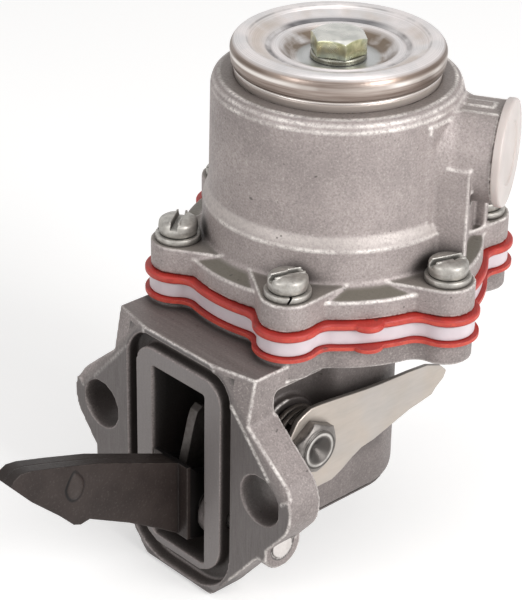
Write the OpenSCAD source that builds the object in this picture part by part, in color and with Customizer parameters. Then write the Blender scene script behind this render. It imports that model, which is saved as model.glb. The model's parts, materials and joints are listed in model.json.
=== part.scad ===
// Diaphragm fuel lift pump with a rocker arm and a hand priming lever.
// Millimetres, +Z up. Origin: centre of the mounting face, midway between its
// two bolt holes. The face is the plane y = 0 and looks along -Y.

/* [Mounting flange] */
// Distance between the two mounting holes
bolt_spacing = 48; // [46:0.5:52]
// Diameter of the mounting holes
bolt_hole_d = 10.5; // [9:0.1:11]
// Radius of the ears round the mounting holes
ear_r = 8.5; // [8:0.1:9.5]
// Thickness of the mounting flange
flange_t = 8; // [7:0.1:9]
// Height of the flange above the bolt holes
flange_up = 24; // [23.6:0.1:25]
// Depth of the flange below the bolt holes
flange_down = 30; // [29:0.1:32]
// Width of the block behind the top of the flange
block_w = 40; // [38:0.5:42]

/* [Rocker mouth] */
// Width of the mouth
mouth_w = 15.3; // [15:0.1:16]
// Top of the mouth above the bolt holes
mouth_up = 16.3; // [15.5:0.1:17]
// Bottom of the mouth below the bolt holes
mouth_down = 23.4; // [22.5:0.1:24]
// Width of the lip between mouth and groove
lip_w = 5; // [4.6:0.1:5.2]
// Width of the sealing groove
groove_w = 2.6; // [2.2:0.1:2.8]
// Depth of the sealing groove
groove_depth = 3; // [2:0.1:4]

/* [Lower housing] */
// Distance from the mounting face to the pump axis
axis_y = 41.5; // [41:0.1:43]
// Width of the lower housing
housing_w = 20.8; // [20.4:0.1:21.4]
// Depth of the lower housing below the bolt holes
housing_down = 22.3; // [22:0.1:23]
// Radius along the bottom edge of the lower housing
housing_edge_r = 5.5; // [4:0.1:6]
// Thickness of the lower diaphragm flange
lower_flange_t = 4.5; // [4.3:0.1:5.5]
// Top face of the lower body above the bolt holes
joint_z = 25.2; // [25:0.1:25.8]

/* [Clamped stack] */
// Pitch circle diameter of the body screws
screw_pcd = 63.5; // [63:0.1:65]
// Radius of the lobes round the body screws
lobe_r = 5.5; // [5.2:0.1:5.8]
// Radius of the round flange between the lobes
web_r = 30.7; // [30.2:0.1:31.2]
// Thickness of the lower diaphragm
lower_skin_t = 1.1; // [0.9:0.1:1.2]
// Thickness of the plastic spacer between the diaphragms
spacer_t = 3.1; // [3:0.1:4]
// Thickness of the upper diaphragm at its clamped bead
upper_skin_t = 2; // [1.6:0.1:2.4]
// How far the diaphragm edges stand out of the castings
skin_overhang = 1.2; // [0.6:0.1:1.5]

/* [Upper body] */
// Thickness of the upper flange at the screws
upper_flange_t = 5.5; // [5.3:0.1:6.5]
// Radius of the upper body
body_r = 24.9; // [24.6:0.1:25.4]
// Height of the upper body above the clamped stack
body_h = 38.6; // [38.4:0.1:40]
// Radius of the shoulder ring at the foot of the upper body
ring_r = 26.4; // [26.2:0.1:26.8]
// Height of the shoulder ring
ring_h = 7.5; // [6.5:0.1:8.5]
// Depth of the port axis below the top of the upper body
port_drop = 12.2; // [12:0.1:12.6]
// Angle of each port from the mounting side
port_angle = 120; // [117:1:123]
// Radius of the port bosses
port_boss_r = 10.2; // [9.8:0.1:10.4]
// Distance from the pump axis to the end of a port boss
port_reach = 33.4; // [33:0.1:35]
// Diameter of the port thread
port_thread_d = 14; // [13:0.1:15]

/* [Top cover] */
// Radius over the rolled rim of the cover
cover_r = 21.2; // [20.8:0.1:21.6]
// Height of the cover
cover_h = 6.5; // [6.3:0.1:6.8]
// Width across the flats of the hexagon heads
hex_af = 10; // [9.8:0.1:10.4]

/* [Screws] */
// Diameter of the body screws
screw_d = 5; // [4.8:0.1:5.2]
// Diameter of the slotted heads
screw_head_d = 8; // [7.8:0.1:8.4]
// Height of the slotted heads
screw_head_h = 3.3; // [3:0.1:3.8]
// Thickness of the spring washers
washer_t = 1.3; // [1:0.1:1.5]

/* [Lever train] */
// Distance from the mounting face to the rocker pin
pin_y = 4.4; // [4.2:0.1:4.6]
// Depth of the rocker pin below the bolt holes
pin_down = 11.4; // [11.2:0.1:11.6]
// Diameter of the rocker pin
pin_d = 5; // [4.8:0.1:5.2]
// Thickness of each rocker plate
rocker_t = 2.35; // [2.2:0.05:2.4]
// Thickness of the link lever
link_t = 2.2; // [2:0.1:2.3]
// Distance from the mounting face to the priming shaft
shaft_y = 18.7; // [18.5:0.1:19]
// Height of the priming shaft above the bolt holes
shaft_z = 2.4; // [2.3:0.1:2.8]
// Diameter of the priming shaft
shaft_d = 8; // [7.6:0.1:8]
// Distance from the middle of the pump to the priming lever's outer face
lever_x = 18.5; // [18.3:0.1:19.5]
// Thickness of the priming lever
lever_t = 1.2; // [1:0.1:1.6]
// Diameter of the pull rod
rod_d = 5; // [4.8:0.1:5.2]

/* [Hidden] */
$fn = 64;
// Running clearance between a shaft and its hole, on the radius
run_gap = 0.06;
// Clearance between faces that move past each other
face_gap = 0.3;
// Clearance round a screw in its hole, on the radius
screw_gap = 0.25;
// Overshoot of cutting shapes
over = 1;
// How far a blend is tucked into the face that it runs out of
tuck = 0.004;

// Levels of the clamped stack, from the bottom up
pin_z = -pin_down;
flange_low_z = joint_z - lower_flange_t;
spacer_z = joint_z + lower_skin_t;
upper_skin_z = spacer_z + spacer_t;
upper_z = upper_skin_z + upper_skin_t;
pad_z = upper_z + upper_flange_t;
body_top_z = upper_z + body_h;
port_z = body_top_z - port_drop;
screw_angles = [-150, -90, -30, 30, 90, 150];
screw_ring_r = screw_pcd / 2;
lobe_blend_r = 4;
wall = 2.7;

// Diaphragm centre, raised by half a stroke at rest
stroke = 3.6;
lift = 2;
centre_r = 15;
plate_r = 16.5;
plate_t = 1.1;
web_t = 1.2;
lower_web_z = joint_z + lift;
lower_plate_z = lower_web_z - plate_t;
upper_web_z = upper_skin_z + lift;
upper_plate_z = upper_web_z + web_t;
dish_r = 22.5;
dish_floor_z = lower_plate_z - stroke - face_gap;
rod_nut_h = 2.2;
rod_nut_r = 4.2;
middle_plate_r = 12;
rod_top_z = upper_plate_z + plate_t + rod_nut_h;
chamber_top_z = rod_top_z + 1.2;

// Lower housing inside
cavity_w = mouth_w;
cavity_floor_z = -housing_down + 2.6;
cavity_roof_z = 1.6;
pocket_r = housing_w / 2 - wall;
pocket_floor_z = cavity_roof_z + 2.6;
seal_t = 1.5;
retainer_t = 1;
spring_foot_z = pocket_floor_z + seal_t + retainer_t;
spring_r = 5.6;
spring_wire_r = 0.8;

// Rocker
fork_gap = 2.7;
fork_out = fork_gap + rocker_t;
pin_boss_r = 4.9;
pin_boss_x = 26;
inner_boss_x = fork_out + 0.2;
inner_boss_r = 5.6;
bush_r = pin_d / 2 + 0.7;
heel_y = pin_y + 6.6;
heel_z = pin_z + 11.6;
heel_r = 1.4;
tab_z = pin_z - 0.8;
tab_t = 2;
rod_head_t = 1.8;
rod_head_r = 4;
link_hub_r = 6.2;
tab_half = 5.6;
tab_depth = 9;
rod_head_z = tab_z - 2 * face_gap - rod_head_t;

// Priming shaft
shaft_boss_r = 7.6;
shaft_boss_x = housing_w / 2 + 1.8;
sleeve_r = 5.2;
sleeve_x = lever_x - lever_t - face_gap;
priming_spring_r = 6.2;
priming_wire_r = 0.6;

// Valves, inlet and outlet, in pockets above the pump chamber
valve_r = 6.2;
valve_h = 6;
valve_plate_t = 2;
valve_disc_r = 3.7;
valve_disc_t = 0.9;
valve_play = 0.05;
valve_bar_t = 0.8;
valve_spring_h = valve_h - valve_plate_t - valve_disc_t - valve_bar_t - 2 * valve_play;
inlet_valve_reach = 12.5;
outlet_valve_reach = 14.5;
valve_z = chamber_top_z - 3;
deck_top_z = valve_z + valve_h + 4.5;

// Cover
cover_z = body_top_z + 0.8;
cover_top_z = body_top_z + 0.8 + cover_h;
cover_well_z = body_top_z + 3.3;
rim_r = 2.3;
bolt_washer_t = 1.1;
bolt_head_h = 4;
bolt_d = 5.9;
bolt_reach = 16;
bolt_tip_gap = 4;

// Outline helpers

// Points where the outer tangent of circles a and b, as [x, y, r], touches both
function tangent_pair(a, b) =
    let (d = [b[0] - a[0], b[1] - a[1]],
         phi = atan2(d[1], d[0]) - acos((a[2] - b[2]) / norm(d)))
    [[a[0] + a[2] * cos(phi), a[1] + a[2] * sin(phi)],
     [b[0] + b[2] * cos(phi), b[1] + b[2] * sin(phi)]];

// Outline drawn tight round a counter-clockwise ring of circles [x, y, r]
module rounded_outline(ring) {
    n = len(ring);
    polygon([for (i = [0 : n - 1]) each tangent_pair(ring[i], ring[(i + 1) % n])]);
    for (c = ring)
        translate([c[0], c[1]]) circle(r = c[2]);
}

// Rectangle with its own corner radius at the bottom and at the top
module round_window(half_w, bottom, top, bottom_r, top_r) {
    rounded_outline([
        [-half_w + bottom_r, bottom + bottom_r, bottom_r],
        [half_w - bottom_r, bottom + bottom_r, bottom_r],
        [half_w - top_r, top - top_r, top_r],
        [-half_w + top_r, top - top_r, top_r]
    ]);
}

// Round plate with six lobes that blend into it
module lobed_outline(lobe, web, blend = lobe_blend_r) {
    far = web + blend;
    turn = acos((far * far + screw_ring_r * screw_ring_r - (lobe + blend) * (lobe + blend))
        / (2 * far * screw_ring_r));
    blend_c = far * [sin(turn), -cos(turn)];
    circle(r = web);
    for (a = screw_angles)
        rotate(a) {
            translate([0, -screw_ring_r]) circle(r = lobe);
            for (side = [0, 1])
                mirror([side, 0])
                    difference() {
                        polygon([[0, 0], [0, -screw_ring_r], blend_c]);
                        translate(blend_c) circle(r = blend + tuck);
                    }
        }
}

// Extrudes an outline drawn in x and z, from y = start for a length
module along_y(start, length) {
    translate([0, start + length, 0])
        rotate([90, 0, 0])
            linear_extrude(height = length) children();
}

// Extrudes an outline drawn in y and z, from x = start for a length
module along_x(start, length) {
    translate([start, 0, 0])
        rotate([90, 0, 90])
            linear_extrude(height = length) children();
}

// Round bar along x
module bar_x(y, z, r, start, stop) {
    translate([start, y, z])
        rotate([0, 90, 0])
            cylinder(r = r, h = stop - start);
}

// Puts its children on the pump axis
module on_axis() {
    translate([0, axis_y, 0]) children();
}

// Puts its children at each body screw
module at_screws() {
    on_axis()
        for (a = screw_angles)
            rotate([0, 0, a]) translate([0, -screw_ring_r, 0]) children();
}

// Puts its children at a port, with the port's outward direction along -Y
module at_port(side) {
    on_axis()
        rotate([0, 0, side * port_angle]) children();
}

// Round wire wound about z, with close end turns that clear each other, as one closed tube
module coil(r, wire_r, height, turns, steps = 20, sides = 8) {
    count = round(turns * steps);
    rise = height - 2 * wire_r;
    close = turns > 2 ? min(2.1 * wire_r, rise / turns) : rise / turns;
    open_pitch = turns > 2 ? (rise - 2 * close) / (turns - 2) : 0;
    function climb(n) = n <= 1 ? close * n
        : n >= turns - 1 ? rise - close * (turns - n)
        : close + open_pitch * (n - 1);
    points = [
        for (i = [0 : count])
            let (n = i / steps, a = 360 * n, z = wire_r + climb(n))
            for (k = [0 : sides - 1])
                let (b = 360 * k / sides, rr = r + wire_r * cos(b))
                [rr * cos(a), rr * sin(a), z + wire_r * sin(b)]
    ];
    faces = concat(
        [[for (k = [0 : sides - 1]) k]],
        [for (i = [0 : count - 1]) for (k = [0 : sides - 1])
            let (n = (k + 1) % sides, a = i * sides, b = a + sides)
            each [[a + k, b + k, b + n], [a + k, b + n, a + n]]],
        [[for (k = [sides - 1 : -1 : 0]) count * sides + k]]
    );
    polyhedron(points = points, faces = faces);
}

// Hexagon head with chamfered corners on its upper end
module hex_head(af, height) {
    corner_r = af / 2 / cos(30);
    intersection() {
        cylinder(r = corner_r, h = height, $fn = 6);
        union() {
            cylinder(r = corner_r + 0.2, h = height - 0.9);
            translate([0, 0, height - 0.9])
                cylinder(r1 = corner_r + 0.2, r2 = af / 2 - 0.35, h = 0.9);
        }
    }
}

// Lower casting

module mounting_outline() {
    low_r = 2.8;
    top_r = 2;
    half = bolt_spacing / 2;
    rounded_outline([
        [-8.6, low_r - flange_down, low_r],
        [8.6, low_r - flange_down, low_r],
        [half, 0, ear_r],
        [8.2, flange_up - top_r, top_r],
        [-8.2, flange_up - top_r, top_r],
        [-half, 0, ear_r]
    ]);
}

// Slim housing whose rear end is round about the pump axis
module housing_form(half_w, bottom, top, edge_r, start) {
    along_y(start, axis_y - start) {
        rounded_outline([
            [-half_w + edge_r, bottom + edge_r, edge_r],
            [half_w - edge_r, bottom + edge_r, edge_r]
        ]);
        translate([-half_w, bottom + edge_r])
            square([2 * half_w, top - bottom - edge_r]);
    }
    on_axis()
        rotate_extrude()
            intersection() {
                union() {
                    translate([half_w - edge_r, bottom + edge_r]) circle(r = edge_r);
                    translate([0, bottom]) square([half_w - edge_r, top - bottom]);
                    translate([0, bottom + edge_r]) square([half_w, top - bottom - edge_r]);
                }
                translate([0, bottom - over]) square([2 * half_w, top - bottom + over]);
            }
}

// Sloped facet between the flange's upper edge and the corner of the block
module facet_cut() {
    start = [9.6, flange_up];
    stop = [block_w / 2, 12.5];
    set_back = 2.2;
    run = stop - start;
    away = abs(run[0] * run[1]) / norm(run);
    for (side = [0, 1])
        mirror([side, 0, 0])
            translate([start[0], 0, start[1]])
                rotate([0, atan2(-run[1], run[0]), 0])
                    rotate([-atan(set_back / away), 0, 0])
                        translate([-10, -10, 0])
                            cube([40, 10, 20]);
}

module block_form() {
    back = 7.3;
    fillet = 1.5;
    depth = 20;
    roof_low = flange_low_z - 1.1;
    along_x(-block_w / 2, block_w) {
        translate([0, 9]) square([back, flange_up - 9]);
        translate([0, roof_low]) square([depth, flange_up - roof_low]);
        difference() {
            translate([back - 1, roof_low - fillet]) square([fillet + 1, fillet + 1]);
            translate([back + fillet, roof_low - fillet]) circle(r = fillet + tuck);
        }
    }
}

// Hollow corner that runs down between the flange's back and the housing's side
module side_fillets() {
    r = 6;
    side_x = housing_w / 2;
    for (side = [0, 1])
        mirror([side, 0, 0])
            translate([0, 0, -16])
                linear_extrude(height = flange_low_z + 16 + over)
                    difference() {
                        translate([side_x - 1, flange_t - 1]) square([r + 1, r + 1]);
                        translate([side_x + r, flange_t + r]) circle(r = r + tuck);
                    }
}

module lower_body() {
    half_in = cavity_w / 2;
    lip_half = half_in + lip_w;
    groove_half = lip_half + groove_w;
    groove_low = -flange_down + 1;
    lip_up = mouth_up + lip_w - 1.2;
    color("#8f8a86")
        difference() {
            union() {
                along_y(0, flange_t) mounting_outline();
                block_form();
                side_fillets();
                housing_form(housing_w / 2, -housing_down, flange_low_z + 1, housing_edge_r, 2);
                along_x(-housing_w / 2, housing_w)
                    polygon([[5, -flange_down + 3], [flange_t, -flange_down + 3],
                        [17, -housing_down], [17, -5], [5, -5]]);
                on_axis()
                    translate([0, 0, flange_low_z])
                        linear_extrude(height = lower_flange_t) lobed_outline(lobe_r, web_r);
                bar_x(pin_y, pin_z, pin_boss_r, -pin_boss_x, pin_boss_x);
                bar_x(shaft_y, shaft_z, shaft_boss_r, housing_w / 2 - 1, shaft_boss_x);
                bar_x(shaft_y, shaft_z, sleeve_r, housing_w / 2, sleeve_x);
            }
            facet_cut();
            // The face stays flat where the pin bosses meet it
            translate([-40, -20, -40]) cube([80, 20, 60]);
            // Sealing groove round the mouth
            along_y(-over, groove_depth + over)
                difference() {
                    round_window(groove_half, groove_low, lip_up + groove_w, 11, 7);
                    round_window(lip_half, groove_low + groove_w + 1, lip_up, 8, 5);
                }
            // Mouth and lever cavity, round the inner pin bosses
            difference() {
                union() {
                    translate([-half_in, -over, -mouth_down])
                        cube([cavity_w, 11 + over, mouth_up + mouth_down]);
                    along_x(-half_in, cavity_w)
                        polygon([[9, -mouth_down], [10.9, -mouth_down], [16, cavity_floor_z],
                            [axis_y - 12, cavity_floor_z], [axis_y - 12, mouth_up], [9, mouth_up]]);
                    housing_form(half_in, cavity_floor_z, cavity_roof_z, 3, 15);
                }
                for (side = [0, 1])
                    mirror([side, 0, 0])
                        bar_x(pin_y + 1.7, pin_z - 1.9, inner_boss_r, inner_boss_x, half_in + over);
            }
            // Rocker pin, in from the lever side
            bar_x(pin_y, pin_z, pin_d / 2, -pin_boss_x - over, pin_boss_x + over);
            // Priming shaft and its seal seat
            bar_x(shaft_y, shaft_z, shaft_d / 2 + run_gap, half_in - over, sleeve_x + over);
            bar_x(shaft_y, shaft_z, shaft_d / 2 - 1.2 + run_gap, -half_in - 1.4, half_in);
            // Spring pocket, rod hole and diaphragm dish
            on_axis() {
                translate([0, 0, pocket_floor_z]) cylinder(r = pocket_r, h = 40);
                translate([0, 0, cavity_roof_z - over]) cylinder(r = rod_d / 2 + 0.4, h = 10);
                translate([0, 0, dish_floor_z])
                    cylinder(r1 = plate_r + 1, r2 = dish_r, h = joint_z - dish_floor_z);
                translate([0, 0, joint_z]) cylinder(r = 40, h = 5);
            }
            // Threaded screw holes
            at_screws()
                translate([0, 0, flange_low_z - over])
                    cylinder(r = screw_d / 2 + 0.05, h = lower_flange_t + 2 * over);
            // Mounting holes
            for (side = [-1, 1])
                translate([side * bolt_spacing / 2, -over, 0])
                    rotate([-90, 0, 0])
                        cylinder(d = bolt_hole_d, h = flange_t + 2 * over);
        }
}

// Clamped stack

// Small tab that shows which way round a diaphragm goes
module tab_outline(r) {
    rotate(59)
        translate([0, -r]) circle(r = 3.2);
}

module skin(level, rim_t, raised) {
    edge = skin_overhang;
    difference() {
        union() {
            translate([0, 0, level])
                linear_extrude(height = rim_t)
                    difference() {
                        union() {
                            lobed_outline(lobe_r + edge, web_r + edge);
                            tab_outline(web_r + edge - 1.6);
                        }
                        circle(r = dish_r);
                    }
            rotate_extrude()
                polygon([
                    [rod_d / 2 + 0.05, level + raised], [centre_r + 2, level + raised],
                    [dish_r - 1, level], [dish_r + 0.5, level],
                    [dish_r + 0.5, level + web_t - 0.2], [dish_r - 0.6, level + web_t - 0.2],
                    [centre_r + 2.4, level + raised + web_t], [rod_d / 2 + 0.05, level + raised + web_t]
                ]);
        }
        for (a = screw_angles)
            rotate([0, 0, a])
                translate([0, -screw_ring_r, level - over])
                    cylinder(r = screw_d / 2 + screw_gap, h = rim_t + 2 * over);
    }
}

module lower_diaphragm() {
    color("#b83a30") on_axis() skin(joint_z, lower_skin_t, lift);
}

module upper_diaphragm() {
    color("#c0402f") on_axis() skin(upper_skin_z, upper_skin_t, lift);
}

module spacer_ring() {
    color("#e6dfe4")
        on_axis()
            difference() {
                translate([0, 0, spacer_z])
                    linear_extrude(height = spacer_t)
                        difference() {
                            lobed_outline(lobe_r + 0.3, web_r + 0.3);
                            circle(r = dish_r + 1.5);
                        }
                for (a = screw_angles)
                    rotate([0, 0, a])
                        translate([0, -screw_ring_r, spacer_z - over])
                            cylinder(r = screw_d / 2 + screw_gap, h = spacer_t + 2 * over);
            }
}

module body_screws() {
    slot_w = 1.5;
    slot_depth = 1.4;
    crown = 0.7;
    // Which way each slot was left when its screw was tight
    slot_turns = [20, 100, 125, 75, 72, 150];
    head_z = pad_z + washer_t;
    color("#a8a7a3")
        on_axis()
            for (i = [0 : len(screw_angles) - 1])
                rotate([0, 0, screw_angles[i]])
                    translate([0, -screw_ring_r, 0])
                        rotate([0, 0, slot_turns[i] - screw_angles[i]])
                            difference() {
                                union() {
                                    translate([0, 0, flange_low_z + 0.5])
                                        cylinder(d = screw_d, h = head_z - flange_low_z);
                                    translate([0, 0, head_z])
                                        cylinder(d = screw_head_d, h = screw_head_h - crown);
                                    translate([0, 0, head_z + screw_head_h - crown])
                                        cylinder(d1 = screw_head_d, d2 = screw_head_d - 1.4, h = crown);
                                }
                                translate([0, 0, head_z + screw_head_h - slot_depth + 5])
                                    cube([2 * screw_head_d, slot_w, 10], center = true);
                            }
}

module spring_washers() {
    color("#b5b4b0")
        at_screws()
            translate([0, 0, pad_z])
                difference() {
                    cylinder(d = screw_head_d + 1.2, h = washer_t);
                    translate([0, 0, -over]) cylinder(d = screw_d + 0.3, h = washer_t + 2 * over);
                    rotate([12, 0, 0]) translate([-0.35, -8, -over]) cube([0.7, 8, washer_t + 3 * over]);
                }
}

// Upper casting

module port_boss(side) {
    flare = 1.9;
    flare_start = body_r - 3.2;
    pad_half = 12.6;
    rib_gap = 10;
    rib_t = 2;
    rib_reach = 29.6;
    at_port(side) {
        translate([0, 0, port_z])
            rotate([90, 0, 0]) {
                cylinder(r = port_boss_r, h = port_reach);
                translate([0, 0, flare_start])
                    cylinder(r1 = port_boss_r + flare, r2 = port_boss_r, h = 4.5);
            }
        // Raised band of the body behind the boss
        intersection() {
            translate([0, 0, pad_z]) cylinder(r = body_r + 0.5, h = port_z + 8.6 - pad_z);
            translate([-pad_half, -body_r - 1, pad_z]) cube([2 * pad_half, body_r, body_h]);
        }
        // Two ribs that carry the boss, and the web between them
        for (s = [-1, 1])
            translate([s * rib_gap - rib_t / 2, -rib_reach, pad_z - 3])
                cube([rib_t, rib_reach, port_z - 0.1 - pad_z + 3]);
        translate([-rib_gap, -27, pad_z - 3]) cube([2 * rib_gap, 27, 9]);
    }
}

module upper_body() {
    chamfer = 1.6;
    chamber_r = 20.2;
    post_r = 6.4;
    floor_z = deck_top_z;
    color("#aaa39e")
        difference() {
            union() {
                on_axis() {
                    translate([0, 0, upper_z])
                        linear_extrude(height = upper_flange_t - 1.7) lobed_outline(lobe_r, web_r);
                    // Flange that slopes up to the foot of the shoulder ring
                    rotate_extrude()
                        polygon([[0, upper_z], [web_r, upper_z], [web_r, pad_z - 1.7],
                            [ring_r, pad_z], [0, pad_z]]);
                    // Pads under the screws
                    for (a = screw_angles)
                        rotate([0, 0, a])
                            translate([0, 0, upper_z])
                                linear_extrude(height = upper_flange_t)
                                    rounded_outline([
                                        [0, 0, 20], [0, -screw_ring_r, lobe_r]
                                    ]);
                    // Shoulder ring, body and top chamfer
                    rotate_extrude()
                        polygon([
                            [0, upper_z], [ring_r + 0.3, pad_z - 1], [ring_r, pad_z + 1],
                            [ring_r - 0.1, pad_z + ring_h - 0.6], [ring_r - 0.5, pad_z + ring_h + 0.6],
                            [body_r + 0.25, pad_z + ring_h + 2.2], [body_r, body_top_z - 2.2],
                            [body_r - 0.4, body_top_z - 0.9], [body_r - chamfer, body_top_z],
                            [0, body_top_z]
                        ]);
                }
                for (side = [-1, 1]) port_boss(side);
            }
            // Flat on top of each port boss, with a small raised panel
            for (side = [-1, 1])
                at_port(side)
                    translate([0, 0, port_z + 9.4])
                        difference() {
                            translate([-14, -40, 0]) cube([28, 40, 10]);
                            translate([0, 0, -over]) cylinder(r = body_r + 0.5, h = 20);
                            translate([-1.45, -31.5, -over]) cube([2.9, 20, 0.3 + over]);
                        }
            on_axis() {
                // Filter chamber round the middle post
                difference() {
                    translate([0, 0, floor_z]) cylinder(r = chamber_r, h = 60);
                    cylinder(r = post_r, h = body_top_z - 1);
                    rotate([0, 0, port_angle]) translate([-7, -24, 0]) cube([14, 15.5, port_z + 10]);
                }
                // Pump chamber above the diaphragm
                translate([0, 0, upper_z - over]) cylinder(r = dish_r - 0.5, h = over + 1.5);
                translate([0, 0, upper_z])
                    cylinder(r1 = dish_r - 0.5, r2 = plate_r + 1, h = chamber_top_z - upper_z);
                // Thread for the cover bolt
                translate([0, 0, body_top_z - bolt_reach - bolt_tip_gap])
                    cylinder(d = bolt_d + 0.1, h = bolt_reach + bolt_tip_gap + over);
            }
            // Inlet port opens into the filter chamber
            at_port(-1)
                translate([0, 0, port_z])
                    rotate([90, 0, 0]) {
                        translate([0, 0, 15]) cylinder(r = 5, h = 20);
                        translate([0, 0, port_reach - 9]) cylinder(d = port_thread_d, h = 12);
                    }
            // Outlet port opens into its own gallery above the outlet valve
            at_port(1) {
                translate([0, 0, port_z])
                    rotate([90, 0, 0]) {
                        translate([0, 0, 14]) cylinder(r = 4.5, h = 20);
                        translate([0, 0, port_reach - 9]) cylinder(d = port_thread_d, h = 12);
                    }
            }
            // Valve pockets, open to the pump chamber
            at_inlet_valve() {
                translate([0, 0, valve_z - 2]) cylinder(r = valve_r, h = valve_h + 2);
                translate([0, 0, valve_z]) cylinder(r = 3.5, h = 30);
            }
            at_outlet_valve() {
                translate([0, 0, valve_z - 2]) cylinder(r = valve_r, h = valve_h + 2);
                translate([0, 0, valve_z]) cylinder(r = 4.4, h = port_z - valve_z);
            }
            at_screws()
                translate([0, 0, upper_z - over])
                    cylinder(r = screw_d / 2 + screw_gap, h = upper_flange_t + 2 * over);
        }
}

// Cover

module top_cover() {
    rim_c = [cover_r - rim_r, cover_top_z - rim_r];
    sheet_t = 0.9;
    lip_in = cover_r - 2;
    lip_low = body_top_z + 0.1;
    color("#c9c4b8")
        on_axis()
            rotate_extrude()
                difference() {
                    union() {
                        translate(rim_c) circle(r = rim_r);
                        polygon([
                            [3.3, cover_well_z - sheet_t], [9.8, cover_well_z - sheet_t],
                            [12.8, cover_z + 1.4], [lip_in, cover_z + 1.4], [lip_in, lip_low],
                            [cover_r - 1, lip_low], [cover_r - 0.8, cover_z + 0.5],
                            [cover_r - 1.3, cover_z + 1.6], [rim_c[0] + 1, rim_c[1] + 1],
                            [rim_c[0] - 0.6, cover_top_z - 0.1], [rim_c[0] - 1.2, cover_top_z - 0.9],
                            [15.8, cover_top_z - 1.5], [12.9, cover_top_z - 2.2],
                            [9.9, cover_well_z + 0.3], [9.3, cover_well_z], [3.3, cover_well_z]
                        ]);
                    }
                    // Room for the seal under the rim
                    translate([12.8, lip_low - over]) square([lip_in - 12.8, cover_z - lip_low + over]);
                }
}

module cover_seal() {
    color("#2b2a2a")
        on_axis()
            translate([0, 0, body_top_z])
                difference() {
                    cylinder(r = cover_r - 2.3, h = cover_z - body_top_z + 0.55);
                    translate([0, 0, -over]) cylinder(r = cover_r - 4.2, h = 5);
                }
}

module bolt_washer() {
    color("#b9b6ad")
        on_axis()
            translate([0, 0, cover_well_z])
                difference() {
                    cylinder(r = hex_af / 2 + 0.7, h = bolt_washer_t);
                    translate([0, 0, -over]) cylinder(d = bolt_d + 0.4, h = bolt_washer_t + 2 * over);
                }
}

module cover_bolt() {
    head_z = cover_well_z + bolt_washer_t;
    color("#b5b8a8")
        on_axis() {
            translate([0, 0, head_z]) rotate([0, 0, -32]) hex_head(hex_af, bolt_head_h);
            translate([0, 0, body_top_z - bolt_reach])
                cylinder(d = bolt_d, h = bolt_reach + head_z - body_top_z + bolt_washer_t);
        }
}

// Filter gauze with its end rings, standing on the floor of the filter chamber
module filter_screen() {
    low = deck_top_z + 0.1;
    high = body_top_z - 0.3;
    gauze_r = 8.2;
    color("#c8b58a")
        on_axis() {
            difference() {
                union() {
                    translate([0, 0, low]) cylinder(r = gauze_r, h = high - low);
                    translate([0, 0, high - 1.5]) cylinder(r = gauze_r + 0.6, h = 1.5);
                }
                translate([0, 0, low - over]) cylinder(r = gauze_r - 0.8, h = high - low + 2 * over);
            }
        }
}

// Valves

module at_inlet_valve() {
    on_axis() rotate([0, 0, -port_angle]) translate([0, -inlet_valve_reach, 0]) children();
}

module at_outlet_valve() {
    on_axis() rotate([0, 0, port_angle]) translate([0, -outlet_valve_reach, 0]) children();
}

// Turns a valve over within its pocket, so that it opens downwards
module turned_over() {
    translate([0, 0, 2 * valve_z + valve_h]) mirror([0, 0, 1]) children();
}

// Seat plate with a cage above it, which keeps the disc and its spring
module valve_seat() {
    difference() {
        translate([0, 0, valve_z]) cylinder(r = valve_r - 0.02, h = valve_h - 0.02);
        translate([0, 0, valve_z + valve_plate_t])
            difference() {
                cylinder(r = valve_disc_r + 0.6, h = valve_h);
                translate([-1, -10, valve_h - valve_plate_t - valve_bar_t]) cube([2, 20, 10]);
            }
        translate([0, 0, valve_z - over]) cylinder(r = 2.6, h = valve_h - valve_bar_t);
    }
}

module valve_disc() {
    translate([0, 0, valve_z + valve_plate_t + valve_play]) cylinder(r = valve_disc_r, h = valve_disc_t);
}

module valve_spring() {
    translate([0, 0, valve_z + valve_plate_t + valve_disc_t + 2 * valve_play])
        coil(2.4, 0.25, valve_spring_h, 3, 16, 6);
}

module inlet_valve_seat() {
    color("#c7a75a") at_inlet_valve() turned_over() valve_seat();
}

module outlet_valve_seat() {
    color("#c7a75a") at_outlet_valve() valve_seat();
}

module inlet_valve_disc() {
    color("#33302f") at_inlet_valve() turned_over() valve_disc();
}

module outlet_valve_disc() {
    color("#33302f") at_outlet_valve() valve_disc();
}

module inlet_valve_spring() {
    color("#9c9c9c") at_inlet_valve() turned_over() valve_spring();
}

module outlet_valve_spring() {
    color("#9c9c9c") at_outlet_valve() valve_spring();
}

// Diaphragm train

module round_plate(low, r, t) {
    on_axis()
        difference() {
            translate([0, 0, low]) cylinder(r = r, h = t);
            translate([0, 0, low - over]) cylinder(r = rod_d / 2 + 0.02, h = t + 2 * over);
        }
}

module upper_plate() {
    color("#a9a9a6") round_plate(upper_plate_z, plate_r - 1, plate_t);
}

module middle_plate() {
    color("#a9a9a6")
        round_plate(lower_web_z + web_t, middle_plate_r, upper_web_z - lower_web_z - web_t);
}

module lower_plate() {
    color("#a9a9a6") round_plate(lower_plate_z, plate_r, plate_t);
}

module pull_rod() {
    color("#9b9894")
        on_axis() {
            translate([0, 0, rod_head_z]) cylinder(d = rod_d, h = rod_top_z - rod_head_z - 0.5);
            translate([0, 0, rod_head_z]) cylinder(r = rod_head_r, h = rod_head_t);
            translate([0, 0, upper_plate_z + plate_t])
                cylinder(r = rod_nut_r, h = rod_nut_h);
        }
}

module diaphragm_spring() {
    color("#8e8e8c")
        on_axis()
            translate([0, 0, spring_foot_z])
                coil(spring_r, spring_wire_r, lower_plate_z - spring_foot_z, 5);
}

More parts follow.
